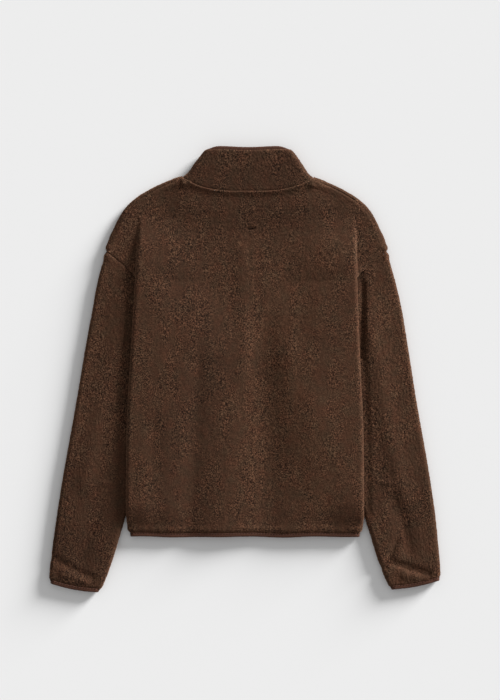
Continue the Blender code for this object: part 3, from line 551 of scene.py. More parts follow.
def back_row(y_edge, side):
    """One half row of the back panel, from the centre line out and round to its edge."""
    level_y = max(y_edge, HEM_Y + 0.010)
    bent = max(y_edge - BACK_BENDS_Y, 0) / (NECK_POINT_Y - BACK_BENDS_Y)
    y_middle = y_edge - (NECK_POINT_Y - NECK_CENTRE_Y) * bent
    if y_edge < CAP_STARTS_Y:
        main_end = SIDE_FOLD(y_edge) - FLEECE / 2 - BEND
        side_level = lifted(main_end, level_y)
        edge_x = main_end
    else:
        fold_x = SIDE_FOLD(min(y_edge, PLEAT_STARTS_Y))
        side_level = SIDE_LIFT(min(y_edge, PLEAT_STARTS_Y))
        step = side_level - (side_level - 2 * BEND) * ease((CAP_LOW_Y - y_edge) / 0.013)
        if y_edge < NOTCH_Y:
            edge_x = armhole_x(y_edge) - ARMHOLE_GAP
            main_end = min(fold_x - FLEECE / 2 - BEND, edge_x - 2 * BEND - 0.0012)
        else:
            edge_x = SHOULDER(y_edge)
            main_end = min(fold_x - FLEECE / 2 - BEND, edge_x - 0.024)

    def y_at(x):
        return y_middle + (y_edge - y_middle) * min(abs(x) / edge_x, 1.0) ** 3

    row = [np.array([x, y_at(x), main_height(side * x, level_y, side_level)])
           for x in np.linspace(0, main_end, MAIN_STEPS + 1)]
    end = row[-1]
    if y_edge < TAIL_ENDS_Y:
        row += folded_under(end, y_edge, level_y)
    elif y_edge < CAP_STARTS_Y:
        row += turned_down(end, y_edge)
    else:
        row += stepped_down(end, step, y_at)
        start = row[-1]
        if y_edge < NOTCH_Y:
            reach = edge_x - start[0]
            last = min(0.006, 0.6 * reach)
            places = [*np.linspace(0, reach - last, CAP_STEPS + 1)[1:]]
            places += [*np.linspace(reach - last, reach, EDGE_STEPS + 2)[1:]]
            row += [start + place * OUT for place in places]
        else:
            row += shoulder_edge(start, y_edge, y_at)
    return [point * np.array([side, 1, 1]) for point in row]


def back_levels(pitch):
    """Levels of the back's rows, this far apart along its outline."""
    marks = [HEM_Y, UNDERARM_Y, TAIL_ENDS_Y, CAP_STARTS_Y, NOTCH_Y, NOTCH_Y + WRAP_GROWS]
    levels = []
    for low, high in zip(marks, marks[1:]):
        start = low + (0.0004 if levels else 0)
        levels += [*np.linspace(start, high - 0.0003, max(round((high - low) / pitch), 4))]
    ys = np.linspace(NOTCH_Y + 0.0080, NECK_POINT_Y, 300)
    reach = reach_along([(SHOULDER(y), y) for y in ys])
    return [*levels, *np.interp(np.linspace(0, reach[-1], round(reach[-1] / pitch)), reach, ys)]


def divisible(levels):
    """The same levels, with some more in the widest gaps, for a whole number of coarse steps."""
    levels = sorted(levels)
    while (len(levels) - 1) % COARSE_STEP:
        gap = max(range(len(levels) - 1), key=lambda k: levels[k + 1] - levels[k])
        levels.insert(gap + 1, (levels[gap] + levels[gap + 1]) / 2)
    return levels


def distance_to(line, sheet):
    """How far each point of the grid is from a line of points, seen from above."""
    flat, line = sheet[..., :2].reshape(-1, 2), np.array(line, float)
    near = np.full(len(flat), np.inf)
    for a, b in zip(line, line[1:]):
        run = b - a
        share = np.clip((flat - a) @ run / (run @ run), 0, 1)
        near = np.minimum(near, np.linalg.norm(flat - a - share[:, None] * run, axis=1))
    return near.reshape(sheet.shape[:2])


def ridge(distance, width, height):
    return height * np.exp(-((distance / width) ** 2))


def mound(sheet, x, y, wide, long, height):
    across, along = (sheet[..., 0] - x) / wide, (sheet[..., 1] - y) / long
    return height * np.exp(-(across**2) - along**2)


def swell(sheet, *shape):
    """The same soft mound on both sides of the garment, above its middle level and as far below
    it. Of those below, only the sleeves' lie on the cloth."""
    return mound(np.abs(sheet), *shape)


def bound_edge(away, places, pucker, fades):
    """The pile near a binding: pressed down along it, and puckered a little further away."""
    puckers = np.array([noise.noise(Vector(place)) for place in places])
    return ridge(away - 0.0010, 0.0020, -0.0009) + pucker * puckers * np.exp(-away / fades)


# Spots where the back's pile is made lighter or darker: x, y, width, length and how much
BACK_LIGHTER_DARKER_SPOTS = [
    (-0.110, 0.080, 0.060, 0.110, -0.025),
    (0.0, HEM_Y, 0.30, 0.050, -0.020),
    (0.120, -0.230, 0.035, 0.060, 0.030),
    (0.0, 0.262, 0.30, 0.040, -0.038),
]
# How strong the painted light and shade on the back's rises over the sleeves are
RAMP_PAINTED_LIGHT = 0.055


def back_spots_and_painted_light(sheet):
    """Spots made lighter or darker, with painted light where the right side rises over its sleeve and
    painted shade where the left side does, against how the key light falls on these slopes.
    """
    shares = np.array([ramp_share(x, min(max(y, HEM_Y), PLEAT_STARTS_Y))
                       for x, y in sheet[..., :2].reshape(-1, 2)]).reshape(sheet.shape[:2])
    lift = np.array([SIDE_LIFT(y) for y in sheet[:, 0, 1]])[:, None] / OVER_SLEEVE
    shares = np.clip(shares, 0, 1)
    # Painted light on the right side's rise and painted shade on the left side's, against how the key
    # light falls on them
    painted_ramp_light = 4 * shares * (1 - shares) * lift * np.sign(sheet[..., 0])
    painted_ramp_light = RAMP_PAINTED_LIGHT * painted_ramp_light * (sheet[..., 2] > HIGH - 0.002)
    return sum((mound(sheet, *spot) for spot in BACK_LIGHTER_DARKER_SPOTS), painted_ramp_light)


SHOULDER_SEAM_INSIDE = 0.0058
NECK_ROLL_BELOW = 0.0042
TACK = (0.0066, 0.2320)
TACK_HALF = 0.0042


def back_relief(sheet):
    """The shoulder seams, the roll of the neck seam, the hem's pull and the thread tack."""
    total = np.zeros(sheet.shape[:2])
    for side in (-1, 1):
        line = []
        for y in np.linspace(NOTCH_Y + 0.010, NECK_POINT_Y - 0.004, 30):
            inside = np.array([SHOULDER(y), y]) - shoulder_normal(y)[:2] * SHOULDER_SEAM_INSIDE
            line.append((side * inside[0], inside[1]))
        total += ridge(distance_to(line, sheet), 0.0017, -0.0011)
    neck = sheet[-1, :, :2]
    above = np.abs(sheet[..., 0]) < SHOULDER(NECK_POINT_Y)
    below = distance_to(neck[::8], sheet)
    roll = ridge(below - NECK_ROLL_BELOW, 0.0048, 0.0012) + ridge(below, 0.0042, 0.0021)
    total += roll * above * (sheet[..., 1] > 0.26)
    to_hem = sheet[..., 1] - HEM_Y
    total += bound_edge(to_hem, [(x / 0.011, 0.0, 3.0) for x in sheet[0, :, 0]], 0.0011, 0.016)
    total += ridge(to_hem - 0.0085, 0.0050, 0.0008)
    tack = [(TACK[0] - TACK_HALF, TACK[1]), (TACK[0] + TACK_HALF, TACK[1] + 0.0006)]
    total += ridge(distance_to(tack, sheet), 0.0024, -0.0015)
    total += ridge(distance_to([(0.003, 0.229), (0.003, 0.175)], sheet), 0.0030, -0.0004)
    total += swell(sheet, SHOULDER(NOTCH_Y), NOTCH_Y + 0.0060, 0.010, 0.0060, 0.0022)
    return total + swell(sheet, 0.116, 0.312, 0.016, 0.010, 0.0024)


back_sheet = []
for y in divisible(back_levels(BACK_PITCH)):
    left, right = back_row(y, -1), back_row(y, 1)
    back_sheet.append([*left[:0:-1], *right])
back_sheet = grown(back_sheet, last=0.0009, first=0.0004, start=0.0008, stop=0.0008)
# The back's pile gets its spots, and painted light and shade on its rises over the sleeves
back = fleece_piece("back_fleece", back_sheet, FLEECE, 1, relief=back_relief(back_sheet),
                    pile_toning_and_painted_light=back_spots_and_painted_light(back_sheet))
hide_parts("back")


# Fronts
# Two panels of the same fleece, under the back. They meet at the zip and lie flat on the floor.


def front_edge(y):
    """The outer edge of a front panel at each level, as it lies on the floor."""
    if y < NOTCH_Y:
        above = 0.0016 * (1 - ease((UNDERARM_Y - y) / 0.020))
        corner = 0.0024 * math.exp(-(((y - UNDERARM_Y - 0.003) / 0.009) ** 2))
        return np.array([side_seam_x(y) - SEAM - above - corner, y])
    normal = shoulder_normal(y)
    edge = np.array([SHOULDER(y), y, 0.0]) - normal * (FLEECE / 2 + BEND + 0.0027)
    return edge[:2]


ZIP_GAP = 0.0065
FRONT_NECK_DROP = 0.0240
FRONT_BENDS_Y = 0.1700
NECK_SIDE = (0.1085, 0.3163)


def front_neck_y(x):
    """The front neck seam, which dips lower at the middle than the back's."""
    t = min(abs(x) / NECK_SIDE[0], 1.0)
    back_y = NECK_CENTRE_Y - 0.0002 + (NECK_SIDE[1] - SEAM - NECK_CENTRE_Y) * t**3
    return back_y - FRONT_NECK_DROP * (1 - t**2)


fronts = {}
for side, label in SIDE_NAMES:
    corner = front_edge(NECK_POINT_Y)
    sheet = []
    for y in divisible(back_levels(FRONT_PITCH)):
        edge_x, edge_y = front_edge(y)
        bent = max(y - FRONT_BENDS_Y, 0) / (NECK_POINT_Y - FRONT_BENDS_Y)
        row = []
        for share in np.linspace(0, 1, 79):
            x = ZIP_GAP + (edge_x - ZIP_GAP) * share
            top_x = ZIP_GAP + (corner[0] - ZIP_GAP) * share
            neck = front_neck_y(top_x) + (corner[1] - front_neck_y(corner[0])) * share**6
            bend = min(y, FRONT_BENDS_Y) + (neck - FRONT_BENDS_Y) * bent
            row.append((side * x, bend + (edge_y - bend) * share ** (4 + 14 * bent), LOW))
        sheet.append(row)
    sheet = grown(sheet, first=0.0004, last=0.0008, stop=0.0005)
    front = fronts[side] = fleece_piece(f"front_{label}_fleece", sheet, FLEECE, -side)
    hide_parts(f"front_{label}")


# Sleeves
# Each is one piece of fleece sewn into a tube down its inner side and set into the dropped
# armhole. It lies empty, with its inner half under the side of the back.

Crease = namedtuple("Crease", "across_a down_a across_b down_b width height")
SLEEVE_CREASES = {
    -1: [
        Crease(0.34, 0.10, 0.30, 0.66, 0.016, 0.0020),
        Crease(0.10, 0.932, 0.78, 0.958, 0.007, -0.0019),
        Crease(0.25, 0.968, 0.70, 0.978, 0.008, 0.0012),
        Crease(0.62, 0.62, 0.52, 0.90, 0.018, -0.0016),
    ],
    1: [
        Crease(0.36, 0.12, 0.44, 0.70, 0.016, 0.0022),
        Crease(0.55, 0.70, 0.48, 0.88, 0.014, -0.0022),
        Crease(0.80, 0.906, 0.54, 0.944, 0.006, -0.0036),
        Crease(0.54, 0.944, 0.22, 0.982, 0.006, -0.0036),
        Crease(0.66, 0.845, 0.93, 0.912, 0.007, -0.0024),
        Crease(0.66, 0.962, 0.44, 0.980, 0.008, 0.0016),
    ],
}
CUFF_BOW = 0.0035
SLEEVE_LENGTH, SLEEVE_WIDTH = 0.470, 0.130
SLEEVE_ROWS, SLEEVE_TOP_STEPS, SLEEVE_UNDER_STEPS, SLEEVE_TURN_STEPS = 270, 122, 72, 5
COVERED_REACH, COVERED_FADE = 0.016, 0.010


def along(table, share):
    """The point (x, y) at this share of the length of an outline, from its top row."""
    points = np.array([(table(y), y) for y in np.linspace(table.first, table.last, 80)])
    reach = reach_along(points)
    return np.array([np.interp(share * reach[-1], reach, points[:, k]) for k in (0, 1)])


def crease_height(creases, across, down):
    """The height that a sleeve's creases add at a share across and down it."""
    scale = np.array([SLEEVE_WIDTH, SLEEVE_LENGTH])
    total, place = 0.0, (across, down) * scale
    for crease in creases:
        start = crease[:2] * scale
        run = crease[2:4] * scale - start
        share = float(np.dot(place - start, run) / np.dot(run, run))
        away = math.dist(place, start + run * min(max(share, 0), 1))
        total += crease.height * math.exp(-((away / crease.width) ** 2))
    return total


def half_turn(steps):
    """The angles between the two ends of a half turn."""
    return np.pi * np.arange(1, steps + 1) / (steps + 1)


def sleeve_ring(down, side):
    """One ring round the empty sleeve, from its outer edge over the top and back underneath."""
    outer, inner = along(SLEEVE_OUTER, down), along(SLEEVE_INNER, down)
    chord = inner - outer
    width = np.linalg.norm(chord)
    chord = chord / width
    inward = np.array([chord[1], -chord[0]])
    bulge = ARMHOLE_BULGE * max(1 - down / 0.30, 0) ** 2 - CUFF_BOW * ease((down - 0.8) / 0.2)
    inset = FLEECE / 2 + BEND

    def place(distance, z):
        t = min(max(distance / width, 0), 1)
        start_gap = 0.0008 * math.exp(-((distance / 0.010) ** 2)) * max(1 - down / 0.06, 0)
        xy = outer + chord * distance + inward * (4 * t * (1 - t) * bulge - start_gap)
        return np.array([xy[0], xy[1], z])

    top = []
    for distance in np.linspace(inset, width - inset, SLEEVE_TOP_STEPS):
        point = place(distance, HIGH)
        under_body = SIDE_FOLD(min(max(point[1], HEM_Y), PLEAT_STARTS_Y)) + COVERED_REACH
        covered = ease((under_body - point[0]) / COVERED_FADE) * ease((point[1] + 0.262) / 0.03)
        covered *= ease((CAP_LOW_Y - 0.001 - point[1]) / 0.012)
        fold = crease_height(SLEEVE_CREASES[side], distance / width, down)
        fold *= ease(down / 0.06) * ease((1.0 - down) / 0.03)
        point[2] += max(fold, -0.7 * AIR) * (1 - covered) - PRESSED * covered
        top.append(point)
    bottom = [place(t, LOW) for t in np.linspace(width - inset, inset, SLEEVE_UNDER_STEPS)]

    def turn(a, b, sign):
        middle, radius = (a + b) / 2, np.linalg.norm(a - b) / 2
        out = np.array([*chord, 0.0]) * sign
        angles = half_turn(SLEEVE_TURN_STEPS)[::sign]
        return [middle + out * radius * math.sin(t) + UP * radius * math.cos(t) for t in angles]

    ring = [*top, *turn(top[-1], bottom[0], 1), *bottom, *turn(top[0], bottom[-1], -1)]
    return [point * np.array([side, 1, 1]) for point in ring]


# Where the right sleeve's pile is parted, and spots where the sleeves are made lighter or darker
SLEEVE_GAP = [(0.1938, 0.142), (0.1942, 0.070), (0.1925, 0.020)]
SLEEVE_LIGHTER_DARKER_SPOTS = [
    (-0.290, -0.300, 0.080, 0.110, -0.095),
    (0.250, 0.060, 0.050, 0.090, 0.035),
    (0.285, -0.200, 0.060, 0.090, -0.050),
]


def sleeve_relief(rings, side):
    """The pile is pressed down along the cuff's edge, and puckered a little above it. Beside the
    right fold of the back it stays parted, and it stands up round the armhole's notch."""
    reach = reach_along(rings)
    total = bound_edge(reach[-1] - reach, rings[-1] / 0.010, 0.0010, 0.014)
    if side == 1:
        on_top = rings[..., 2] > LOW + FLEECE
        total += ridge(distance_to(SLEEVE_GAP, rings), 0.0038, -0.0033) * on_top
    return total + swell(rings, SLEEVE_OUTER(NOTCH_Y), NOTCH_Y - 0.0075, 0.009, 0.0055, 0.0016)


sleeves = {}
for side, label in SIDE_NAMES:
    downs = [0.001 + 0.999 * k / SLEEVE_ROWS for k in range(SLEEVE_ROWS + 1)]
    rings = grown([sleeve_ring(down, side) for down in downs], first=0.0008, last=0.0004)
    # Spots where the sleeves' pile colour is made lighter or darker
    pile_toning_and_painted_light = sum(mound(rings, *spot) for spot in SLEEVE_LIGHTER_DARKER_SPOTS)
    sleeve = sleeves[side] = fleece_piece(f"sleeve_{label}_fleece", rings, FLEECE, side, ring=True,
                                          relief=sleeve_relief(rings, side), pile_toning_and_painted_light=pile_toning_and_painted_light)
    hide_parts(f"sleeve_{label}")


# Collar
# A stand collar of two layers of fleece, sewn to the neck edge, with its ends at the zip. It lies
# folded flat, back over front.

COLLAR_CLOTH = 0.0070
COLLAR_AIR = 0.0038
COLLAR_SIDE = Curve((0.3163, 0.1085), (0.3259, 0.0995), (0.3390, 0.0900), (0.3523, 0.0792),
                    (0.3600, 0.0722))
COLLAR_TOP_Y = 0.3610
COLLAR_TOP_BOW = 0.0020
COLLAR_FLARE = 0.0030
COLLAR_ROWS, COLLAR_FRONT_STEPS, COLLAR_BACK_STEPS, COLLAR_TURN_STEPS = 43, 54, 117, 8


def collar_row(share):
    """One row round the collar, from one zip edge round the back to the other."""
    side_y = COLLAR_SIDE.first + (COLLAR_SIDE.last - COLLAR_SIDE.first) * share
    half = COLLAR_SIDE(side_y)
    middle_y = NECK_CENTRE_Y + SEAM + (COLLAR_TOP_Y - NECK_CENTRE_Y - SEAM) * share
    low, high = COLLAR_CLOTH / 2, COLLAR_CLOTH * 1.5 + COLLAR_AIR
    radius = (high - low) / 2
    flat = half - COLLAR_CLOTH / 2 - radius

    def y_at(x, front):
        t = min(abs(x) / half, 1.0)
        y = middle_y + (side_y - middle_y) * t**3 + COLLAR_TOP_BOW * share * 4 * t**2 * (1 - t**2)
        return y - FRONT_NECK_DROP * (1 - t**2) * front

    def turn(sign, angles):
        points = []
        for a in angles:
            x = sign * (flat + radius * math.sin(a))
            points.append((x, y_at(x, (1 - math.cos(a)) / 2), low + radius + radius * math.cos(a)))
        return points

    angles = half_turn(COLLAR_TURN_STEPS)
    right = [(x, y_at(x, 1), low) for x in np.linspace(ZIP_GAP, flat, COLLAR_FRONT_STEPS)]
    back = [(x, y_at(x, 0), high) for x in np.linspace(flat, -flat, COLLAR_BACK_STEPS)]
    left = [(x, y_at(x, 1), low) for x in np.linspace(-flat, -ZIP_GAP, COLLAR_FRONT_STEPS)]
    return [*right, *turn(1, angles[::-1]), *back, *turn(-1, angles), *left]


shares = np.linspace(0, 1, COLLAR_ROWS)
collar_sheet = np.array([collar_row(share) for share in shares])
to_side = np.clip(np.abs(collar_sheet[..., 0]) / COLLAR_SIDE.xs[0], 0, 1) ** 8
flare = COLLAR_FLARE * to_side * np.exp(-((shares / 0.16) ** 2))[:, None]
collar_sheet[..., 0] += np.sign(collar_sheet[..., 0]) * flare
collar_sheet = grown(collar_sheet, first=0.0009, last=0.0009)
tilt = 0.0016 * (shares[:, None] - 0.45) * (collar_sheet[..., 2] > COLLAR_CLOTH)
collar = fleece_piece("collar_fleece", collar_sheet, COLLAR_CLOTH, -1, roll=0.32, relief=tilt,
                      pile_toning_and_painted_light=-0.045)
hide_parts("collar")


# Bindings of hem, cuffs and collar
# Narrow strips of smooth, stretchy knit, folded over the fleece's cut edges and held by one row
# of stitches. They are a little shorter than the edges, so they pull them in.


def binding_material():
    board = Board("bound_edge_knit", 0.5, Sheen_Weight=0.05, Sheen_Roughness=0.4,
                  Sheen_Tint=WARM_SHEEN, Specular_IOR_Level=0.14)
    loops = board.node("ShaderNodeTexVoronoi", "Distance", board.place, named={"Scale": 1500})
    wear = board.grain(60, 3.0, 0.6)
    colour = board.between(wear * 0.7 + loops * 0.25, (0.030, 0.0112, 0.0064),
                           (0.094, 0.0372, 0.0212))
    normal = board.raised(loops + board.grain(420, 2.0) * 0.8, 0.45, 0.0005)
    return board.give(Base_Color=colour, Normal=normal, Roughness=0.48 + wear * 0.25)


def thread_material():
    board = Board("dark_thread", 0.9, Specular_IOR_Level=0.08)
    twist = board.grain(1800, 1.0)
    colour = board.between(twist, (0.004, 0.0018, 0.0015), (0.016, 0.007, 0.005))
    return board.give(Base_Color=colour, Normal=board.raised(twist, 0.5, 0.0003))


BINDING_KNIT = binding_material()
THREAD = thread_material()
BINDING_WIDTH, BINDING_THICK = 0.0050, 0.0040
COLLAR_BINDING_WIDTH, COLLAR_BINDING_THICK = 0.0062, 0.0050
BINDING_OVERLAP = 0.0014
BINDING_PITCH, BINDING_SIDES = 0.0016, 18
STITCH_PITCH, STITCH_LENGTH, STITCH_THICK = 0.0046, 0.0030, 0.0009
STITCH_SINK, STITCH_STANDS = 0.0003, 0.0001


def evenly(path, across, pitch, ring):
    """The path and its across directions at points this far apart."""
    path, across = np.array(path, float), np.array(across, float)
    if ring:
        path, across = np.vstack([path, path[:1]]), np.vstack([across, across[:1]])
    reach = reach_along(path)
    count = max(round(reach[-1] / pitch), 2)
    places = np.linspace(0, reach[-1], count + 1)
    if ring:
        places = places[:-1]
    return [np.stack([np.interp(places, reach, line[:, k]) for k in range(3)], axis=1)
            for line in (path, across)]


def framed(path, across, ring):
    """Unit directions across the strip and out of it, at each point of its path."""
    run = np.gradient(path, axis=0)
    if ring:
        run = np.roll(path, -1, axis=0) - np.roll(path, 1, axis=0)
    run /= np.linalg.norm(run, axis=1, keepdims=True)
    across = across - run * (across * run).sum(1, keepdims=True)
    across /= np.linalg.norm(across, axis=1, keepdims=True)
    return run, across, np.cross(run, across)


def sewn_on(name, points, faces, look, carrier):
    """A piece that lies with the leaning jacket and is carried by one of its pieces."""
    obj = smooth_object(name, lean(points), faces, look)
    obj.parent = carrier
    return obj


def tube_faces(count, sides, ring=False):
    """The faces of a tube of rings, closed at its two ends if it isn't a ring itself."""
    ends = [] if ring else [range(sides), range((count - 1) * sides, count * sides)]
    return quads(count, sides, True, ring) + [tuple(end) for end in ends]


def stitches(name, carrier, middles, run, across, out):
    """Short rounded stitches, each sinking into the cloth at its two ends."""
    points, faces = [], []
    for middle, r, w, o in zip(middles, run, across, out):
        start = len(points)
        for t, size in ((-1, 0.35), (-0.7, 1), (0.7, 1), (1, 0.35)):
            centre = middle + r * t * STITCH_LENGTH / 2 - o * STITCH_SINK * t * t
            points += [centre + size * STITCH_THICK / 2 * (math.cos(u) * w + math.sin(u) * o)
                       for u in np.linspace(0, 2 * np.pi, 6, endpoint=False)]
        faces += [[start + k for k in face] for face in tube_faces(4, 6)]
    return sewn_on(name, points, faces, THREAD, carrier)


def binding(name, carrier, path, across, outward, reach, thick, ring=False, pinch=None):
    """A rounded strip along a cut edge, from BINDING_OVERLAP inside the edge to reach beyond it,
    and its row of stitches. pinch gives the share of the reach that is left at a point."""
    path, across = evenly(path, across, BINDING_PITCH, ring)
    run, across, out = framed(path, across, ring)
    points = []
    for k, (p, w, o) in enumerate(zip(path, across, out * outward)):
        beyond = reach * (pinch(p) if pinch else 1)
        middle, half = (beyond - BINDING_OVERLAP) / 2, (beyond + BINDING_OVERLAP) / 2
        pull = noise.noise(Vector((k * 0.41, 7.0, 1.0))) * 0.6 + math.sin(k * 2.39) * 0.25
        bulge = thick / 2 * (1 + 0.11 * pull)
        for turn in np.linspace(0, 2 * math.pi, BINDING_SIDES, endpoint=False):
            c, d = math.cos(turn), math.sin(turn)
            a = middle + (half + 0.00022 * pull) * math.copysign(abs(c) ** 0.55, c)
            b = bulge * math.copysign(abs(d) ** 0.80, d)
            points.append(p + a * w + b * o)
    strip = sewn_on(name, points, tube_faces(len(path), BINDING_SIDES, ring), BINDING_KNIT,
                    carrier)
    path, across = evenly(path, across, STITCH_PITCH, ring)
    run, across, out = framed(path, across, ring)
    out = out * outward
    middles = path + out * (thick / 2 + STITCH_STANDS)
    stitches(f"{name}_stitches", strip, middles, run, across, out)
    return strip


HEM_LEAVES_FOLD = 0.27
CUFF_TUCKED = 0.045
CUFF_LOWEST = 0.0024


def hem_half(side):
    """The hem's edge from the zip under the front, round the side fold and up to its middle."""
    foot, top = lift_ramp(HEM_Y)
    over = [p for k, p in enumerate(back_row(HEM_Y, side))
            if k <= MAIN_STEPS + FOLD_STEPS or side * p[0] > top + (foot - top) * HEM_LEAVES_FOLD]
    under = [(x, HEM_Y, LOW) for x in np.linspace(side * ZIP_GAP, over[-1][0], 60)[:-1]]
    return [*under, *over[::-1]]


hem_path = [*hem_half(1), *hem_half(-1)[-2::-1]]
hem = binding("hem_binding_strip", back, hem_path, [(0, -1, 0)] * len(hem_path), 1,
              BINDING_WIDTH + SEAM, BINDING_THICK)
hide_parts("hem_binding")

for side, label in SIDE_NAMES:
    ring, above = [np.array(sleeve_ring(down, side)) for down in (1.0, 0.985)]
    tucked = ring.copy()
    tucked[:, :2] += (ring[:, :2].mean(0) - ring[:, :2]) * CUFF_TUCKED
    tucked[:, 2] = np.clip(tucked[:, 2], CUFF_LOWEST, None)
    cuff = binding(f"cuff_binding_{label}_strip", sleeves[side], tucked, ring - above, side,
                   BINDING_WIDTH + SEAM, BINDING_THICK, ring=True)
    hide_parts(f"cuff_binding_{label}")

collar_top, collar_below = [np.array(collar_row(share)) for share in (1, 0.86)]
upward = framed(collar_top, collar_top - collar_below, False)[1] + [0, 1, 0]
collar_fold = COLLAR_SIDE.xs[-1] - 0.004


def collar_pinch(point):
    return 1 - 0.62 * math.exp(-(((abs(point[0]) - collar_fold) / 0.011) ** 2))


edge = binding("collar_binding_strip", collar, collar_top, upward, -1, COLLAR_BINDING_WIDTH,
               COLLAR_BINDING_THICK, pinch=collar_pinch)
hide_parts("collar_binding")

# The tack that holds the hanging loop inside: a few stitches seen in the pile below the neck
tack_points = np.array([(0.0038, 0.2328, 0), (0.0074, 0.2331, 0), (0.0104, 0.2326, 0),
                        (0.0042, 0.2282, 0)])
pile = np.array([v.co for v in back.data.vertices])
for point, place in zip(tack_points, lean(tack_points)):
    near = pile[np.hypot(pile[:, 0] - place[0], pile[:, 1] - place[1]) < 0.0025]
    point[2] = near[:, 2].max() - 0.0001
ways = [np.array([way] * len(tack_points)) for way in ((1.0, 0.05, 0.0), (0.0, 1.0, 0.0), UP)]
stitches("neck_tack_stitches", back, tack_points, *ways)


# Zip
# Two woven tapes with moulded teeth, a box at the foot and a slider at the collar. The zip is
# closed and lies under the jacket.


def tape_material():
    board = Board("zip_tape_weave", 0.8, Sheen_Weight=0.1, Specular_IOR_Level=0.25)
    ribs = board.node("ShaderNodeTexWave", "Fac", board.place,
                      named={"Scale": 420.0, "Distortion": 1.5}, bands_direction="DIAGONAL")
    fibre = board.grain(2200, 2.0)
    colour = board.between(ribs * 0.7 + fibre * 0.3, (0.014, 0.0065, 0.005), (0.046, 0.022, 0.017))
    return board.give(Base_Color=colour, Normal=board.raised(ribs, 0.5, 0.0003))


def hard_material(name, grain, dark, light, smooth, rougher, bump, **constants):
    """A hard, slightly worn surface. grain is its scale, detail and roughness, smooth and rougher
    the surface's least roughness and what wear adds, and bump its strength and distance."""
    board = Board(name, smooth, **constants)
    wear = board.grain(*grain)
    return board.give(Base_Color=board.between(wear, dark, light),
                      Roughness=smooth + wear * rougher, Normal=board.raised(wear, *bump))


RESIN = hard_material("zip_resin", (700, 2.0), (0.024, 0.011, 0.0085), (0.040, 0.019, 0.0150),
                      0.34, 0.14, (0.15, 0.0002), Specular_IOR_Level=0.5)
SLIDER_METAL = hard_material("dark_slider_metal", (900, 3.0, 0.7), (0.075, 0.062, 0.055),
                             (0.150, 0.128, 0.112), 0.26, 0.22, (0.12, 0.0001), Metallic=1.0)
TAPE_WEAVE = tape_material()
TAPE_Z, COLLAR_TAPE_Z, TAPE_THICK = 0.0034, 0.0064, 0.0008
TAPE_MIDDLE, TAPE_HALF, TAPE_SIDES = 0.00355, 0.00265, 16


def tape_height(y):
    return TAPE_Z + (COLLAR_TAPE_Z - TAPE_Z) * ease((y - 0.225) / 0.045)


tapes = {}
for side, label in SIDE_NAMES:
    points = []
    ys = np.linspace(HEM_Y - 0.0062, COLLAR_TOP_Y - FRONT_NECK_DROP + 0.0045, 320)
    for y in ys:
        for turn in np.linspace(0, 2 * math.pi, TAPE_SIDES, endpoint=False):
            across = math.copysign(abs(math.cos(turn)) ** 0.4, math.cos(turn))
            half_thick = TAPE_THICK / 2 * (1 + 0.35 * max(-across, 0) ** 4)
            points.append((side * (TAPE_MIDDLE + across * TAPE_HALF), y,
                           tape_height(y) + math.sin(turn) * half_thick))
    tapes[side] = sewn_on(f"zip_tape_cloth_{label}", points, tube_faces(len(ys), TAPE_SIDES),
                          TAPE_WEAVE, fronts[side])
    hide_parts(f"zip_tape_{label}")

TEETH_THICK = 0.0021
TEETH_LOW_Y, TEETH_TOP_Y = HEM_Y + 0.0055, 0.3172
TOOTH_PITCH, TOOTH_LONG, TOOTH_WIDE = 0.0029, 0.0019, 0.0034

bpy.ops.mesh.primitive_cube_add(size=1.0)
tooth = bpy.context.object
bpy.ops.object.mode_set(mode="EDIT")
bpy.ops.mesh.select_all(action="SELECT")
bpy.ops.transform.resize(value=(TOOTH_WIDE, TOOTH_LONG, TEETH_THICK))
bpy.ops.mesh.bevel(offset=0.00035, segments=1, affect="EDGES")
bpy.ops.object.mode_set(mode="OBJECT")
tooth_points = np.array([v.co for v in tooth.data.vertices])
tooth_faces = [list(f.vertices) for f in tooth.data.polygons]
tooth_points[:, 1] *= 1 - 0.22 * np.exp(-(((tooth_points[:, 0] + 0.0004) / 0.0006) ** 2))
bpy.data.objects.remove(tooth)
points, faces = [], []
for side in (-1, 1):
    first_y = TEETH_LOW_Y + TOOTH_PITCH * (0.5 + 0.25 * side)
    for y in np.arange(first_y, TEETH_TOP_Y - 0.001, TOOTH_PITCH):
        z = tape_height(y) - TAPE_THICK / 2 - SEAM - TEETH_THICK / 2
        start = len(points)
        points += [p * (side, 1, 1) + np.array([side * 0.0011, y, z]) for p in tooth_points]
        faces += [[start + k for k in face] for face in tooth_faces]
teeth = sewn_on("zip_teeth_row", points, faces, RESIN, tapes[1])
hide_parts("zip_teeth")


def softened(name, node_name, look, body, width):
    """A hard piece on the form of its solid, with rounded edges."""
    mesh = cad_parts[node_name].data.copy()
    obj = bpy.data.objects.new(name, mesh)
    bpy.context.scene.collection.objects.link(obj)
    bpy.context.view_layer.objects.active = obj
    obj.select_set(True)
    bpy.ops.object.mode_set(mode="EDIT")
    bpy.ops.mesh.select_all(action="SELECT")
    bpy.ops.mesh.remove_doubles(threshold=0.00001)
    bpy.ops.mesh.dissolve_limited(angle_limit=math.radians(1))
    bpy.ops.object.mode_set(mode="OBJECT")
    bevel = obj.modifiers.new("round", "BEVEL")
    bevel.width, bevel.segments, bevel.limit_method = width, 2, "ANGLE"
    bpy.ops.object.modifier_apply(modifier="round")
    obj.select_set(False)
    mesh.materials.clear()
    mesh.materials.append(look)
    mesh.shade_smooth()
    mesh.set_sharp_from_angle(angle=math.radians(40))
    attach(obj, body)
    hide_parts(node_name)


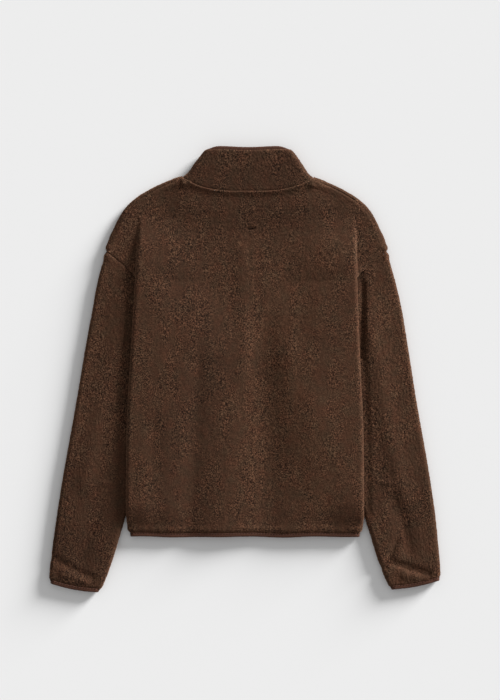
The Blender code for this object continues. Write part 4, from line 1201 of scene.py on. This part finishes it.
softened("zip_foot_box", "zip_box", RESIN, "jacket", 0.0004)
softened("slider_body", "zip_slider", SLIDER_METAL, "jacket", 0.0002)
softened("slider_pull_tab", "zip_pull", SLIDER_METAL, "pull", 0.0002)


# Floor, light and camera
# A plain pale floor under one soft light from the upper right and even light from all round.
# The camera looks straight down, as in a photograph of a garment laid flat.

FLOOR_SIZE, FLOOR_Z = 24, -0.0002
ROUND_LIGHT, KEY_LIGHT = 0.47, 8.1
KEY_SPREAD, KEY_HEIGHT, KEY_TURN = math.radians(21), math.radians(13), math.radians(42)

bpy.ops.mesh.primitive_plane_add(size=FLOOR_SIZE, location=(0, 0, FLOOR_Z))
floor = bpy.context.object
floor.name = "floor"
floor.data.materials.append(Board("floor_paper", 0.95, Base_Color=(0.8, 0.8, 0.8, 1)).material)

scene = bpy.context.scene
scene.view_settings.view_transform = "Standard"
scene.world = bpy.data.worlds.new("studio")
scene.world.use_nodes = True
sky = scene.world.node_tree.nodes["Background"]
sky.inputs["Color"].default_value = (1, 1, 1, 1)
sky.inputs["Strength"].default_value = ROUND_LIGHT

sun = bpy.data.lights.new("key_light", "SUN")
sun.energy, sun.angle = KEY_LIGHT, KEY_SPREAD
key = bpy.data.objects.new("key_light", sun)
towards = Vector((math.cos(KEY_TURN) * math.cos(KEY_HEIGHT),
                  math.sin(KEY_TURN) * math.cos(KEY_HEIGHT), math.sin(KEY_HEIGHT)))
key.rotation_euler = towards.to_track_quat("Z", "Y").to_euler()
scene.collection.objects.link(key)

PICTURE_HEIGHT = 700
METRES_PER_PIXEL = 0.00165
PICTURE_MIDDLE = (0.00825, 0.0322)
CAMERA_HEIGHT = 3.6
GARMENT_HEIGHT = 0.014
eye = bpy.data.cameras.new("camera")
eye.sensor_fit = "VERTICAL"
reach = PICTURE_HEIGHT * METRES_PER_PIXEL / 2
eye.angle = 2 * math.atan(reach / (CAMERA_HEIGHT - GARMENT_HEIGHT))
eye.clip_end = 50
camera = bpy.data.objects.new("camera", eye)
camera.location = (*PICTURE_MIDDLE, CAMERA_HEIGHT)
scene.collection.objects.link(camera)
bpy.context.scene.camera = camera
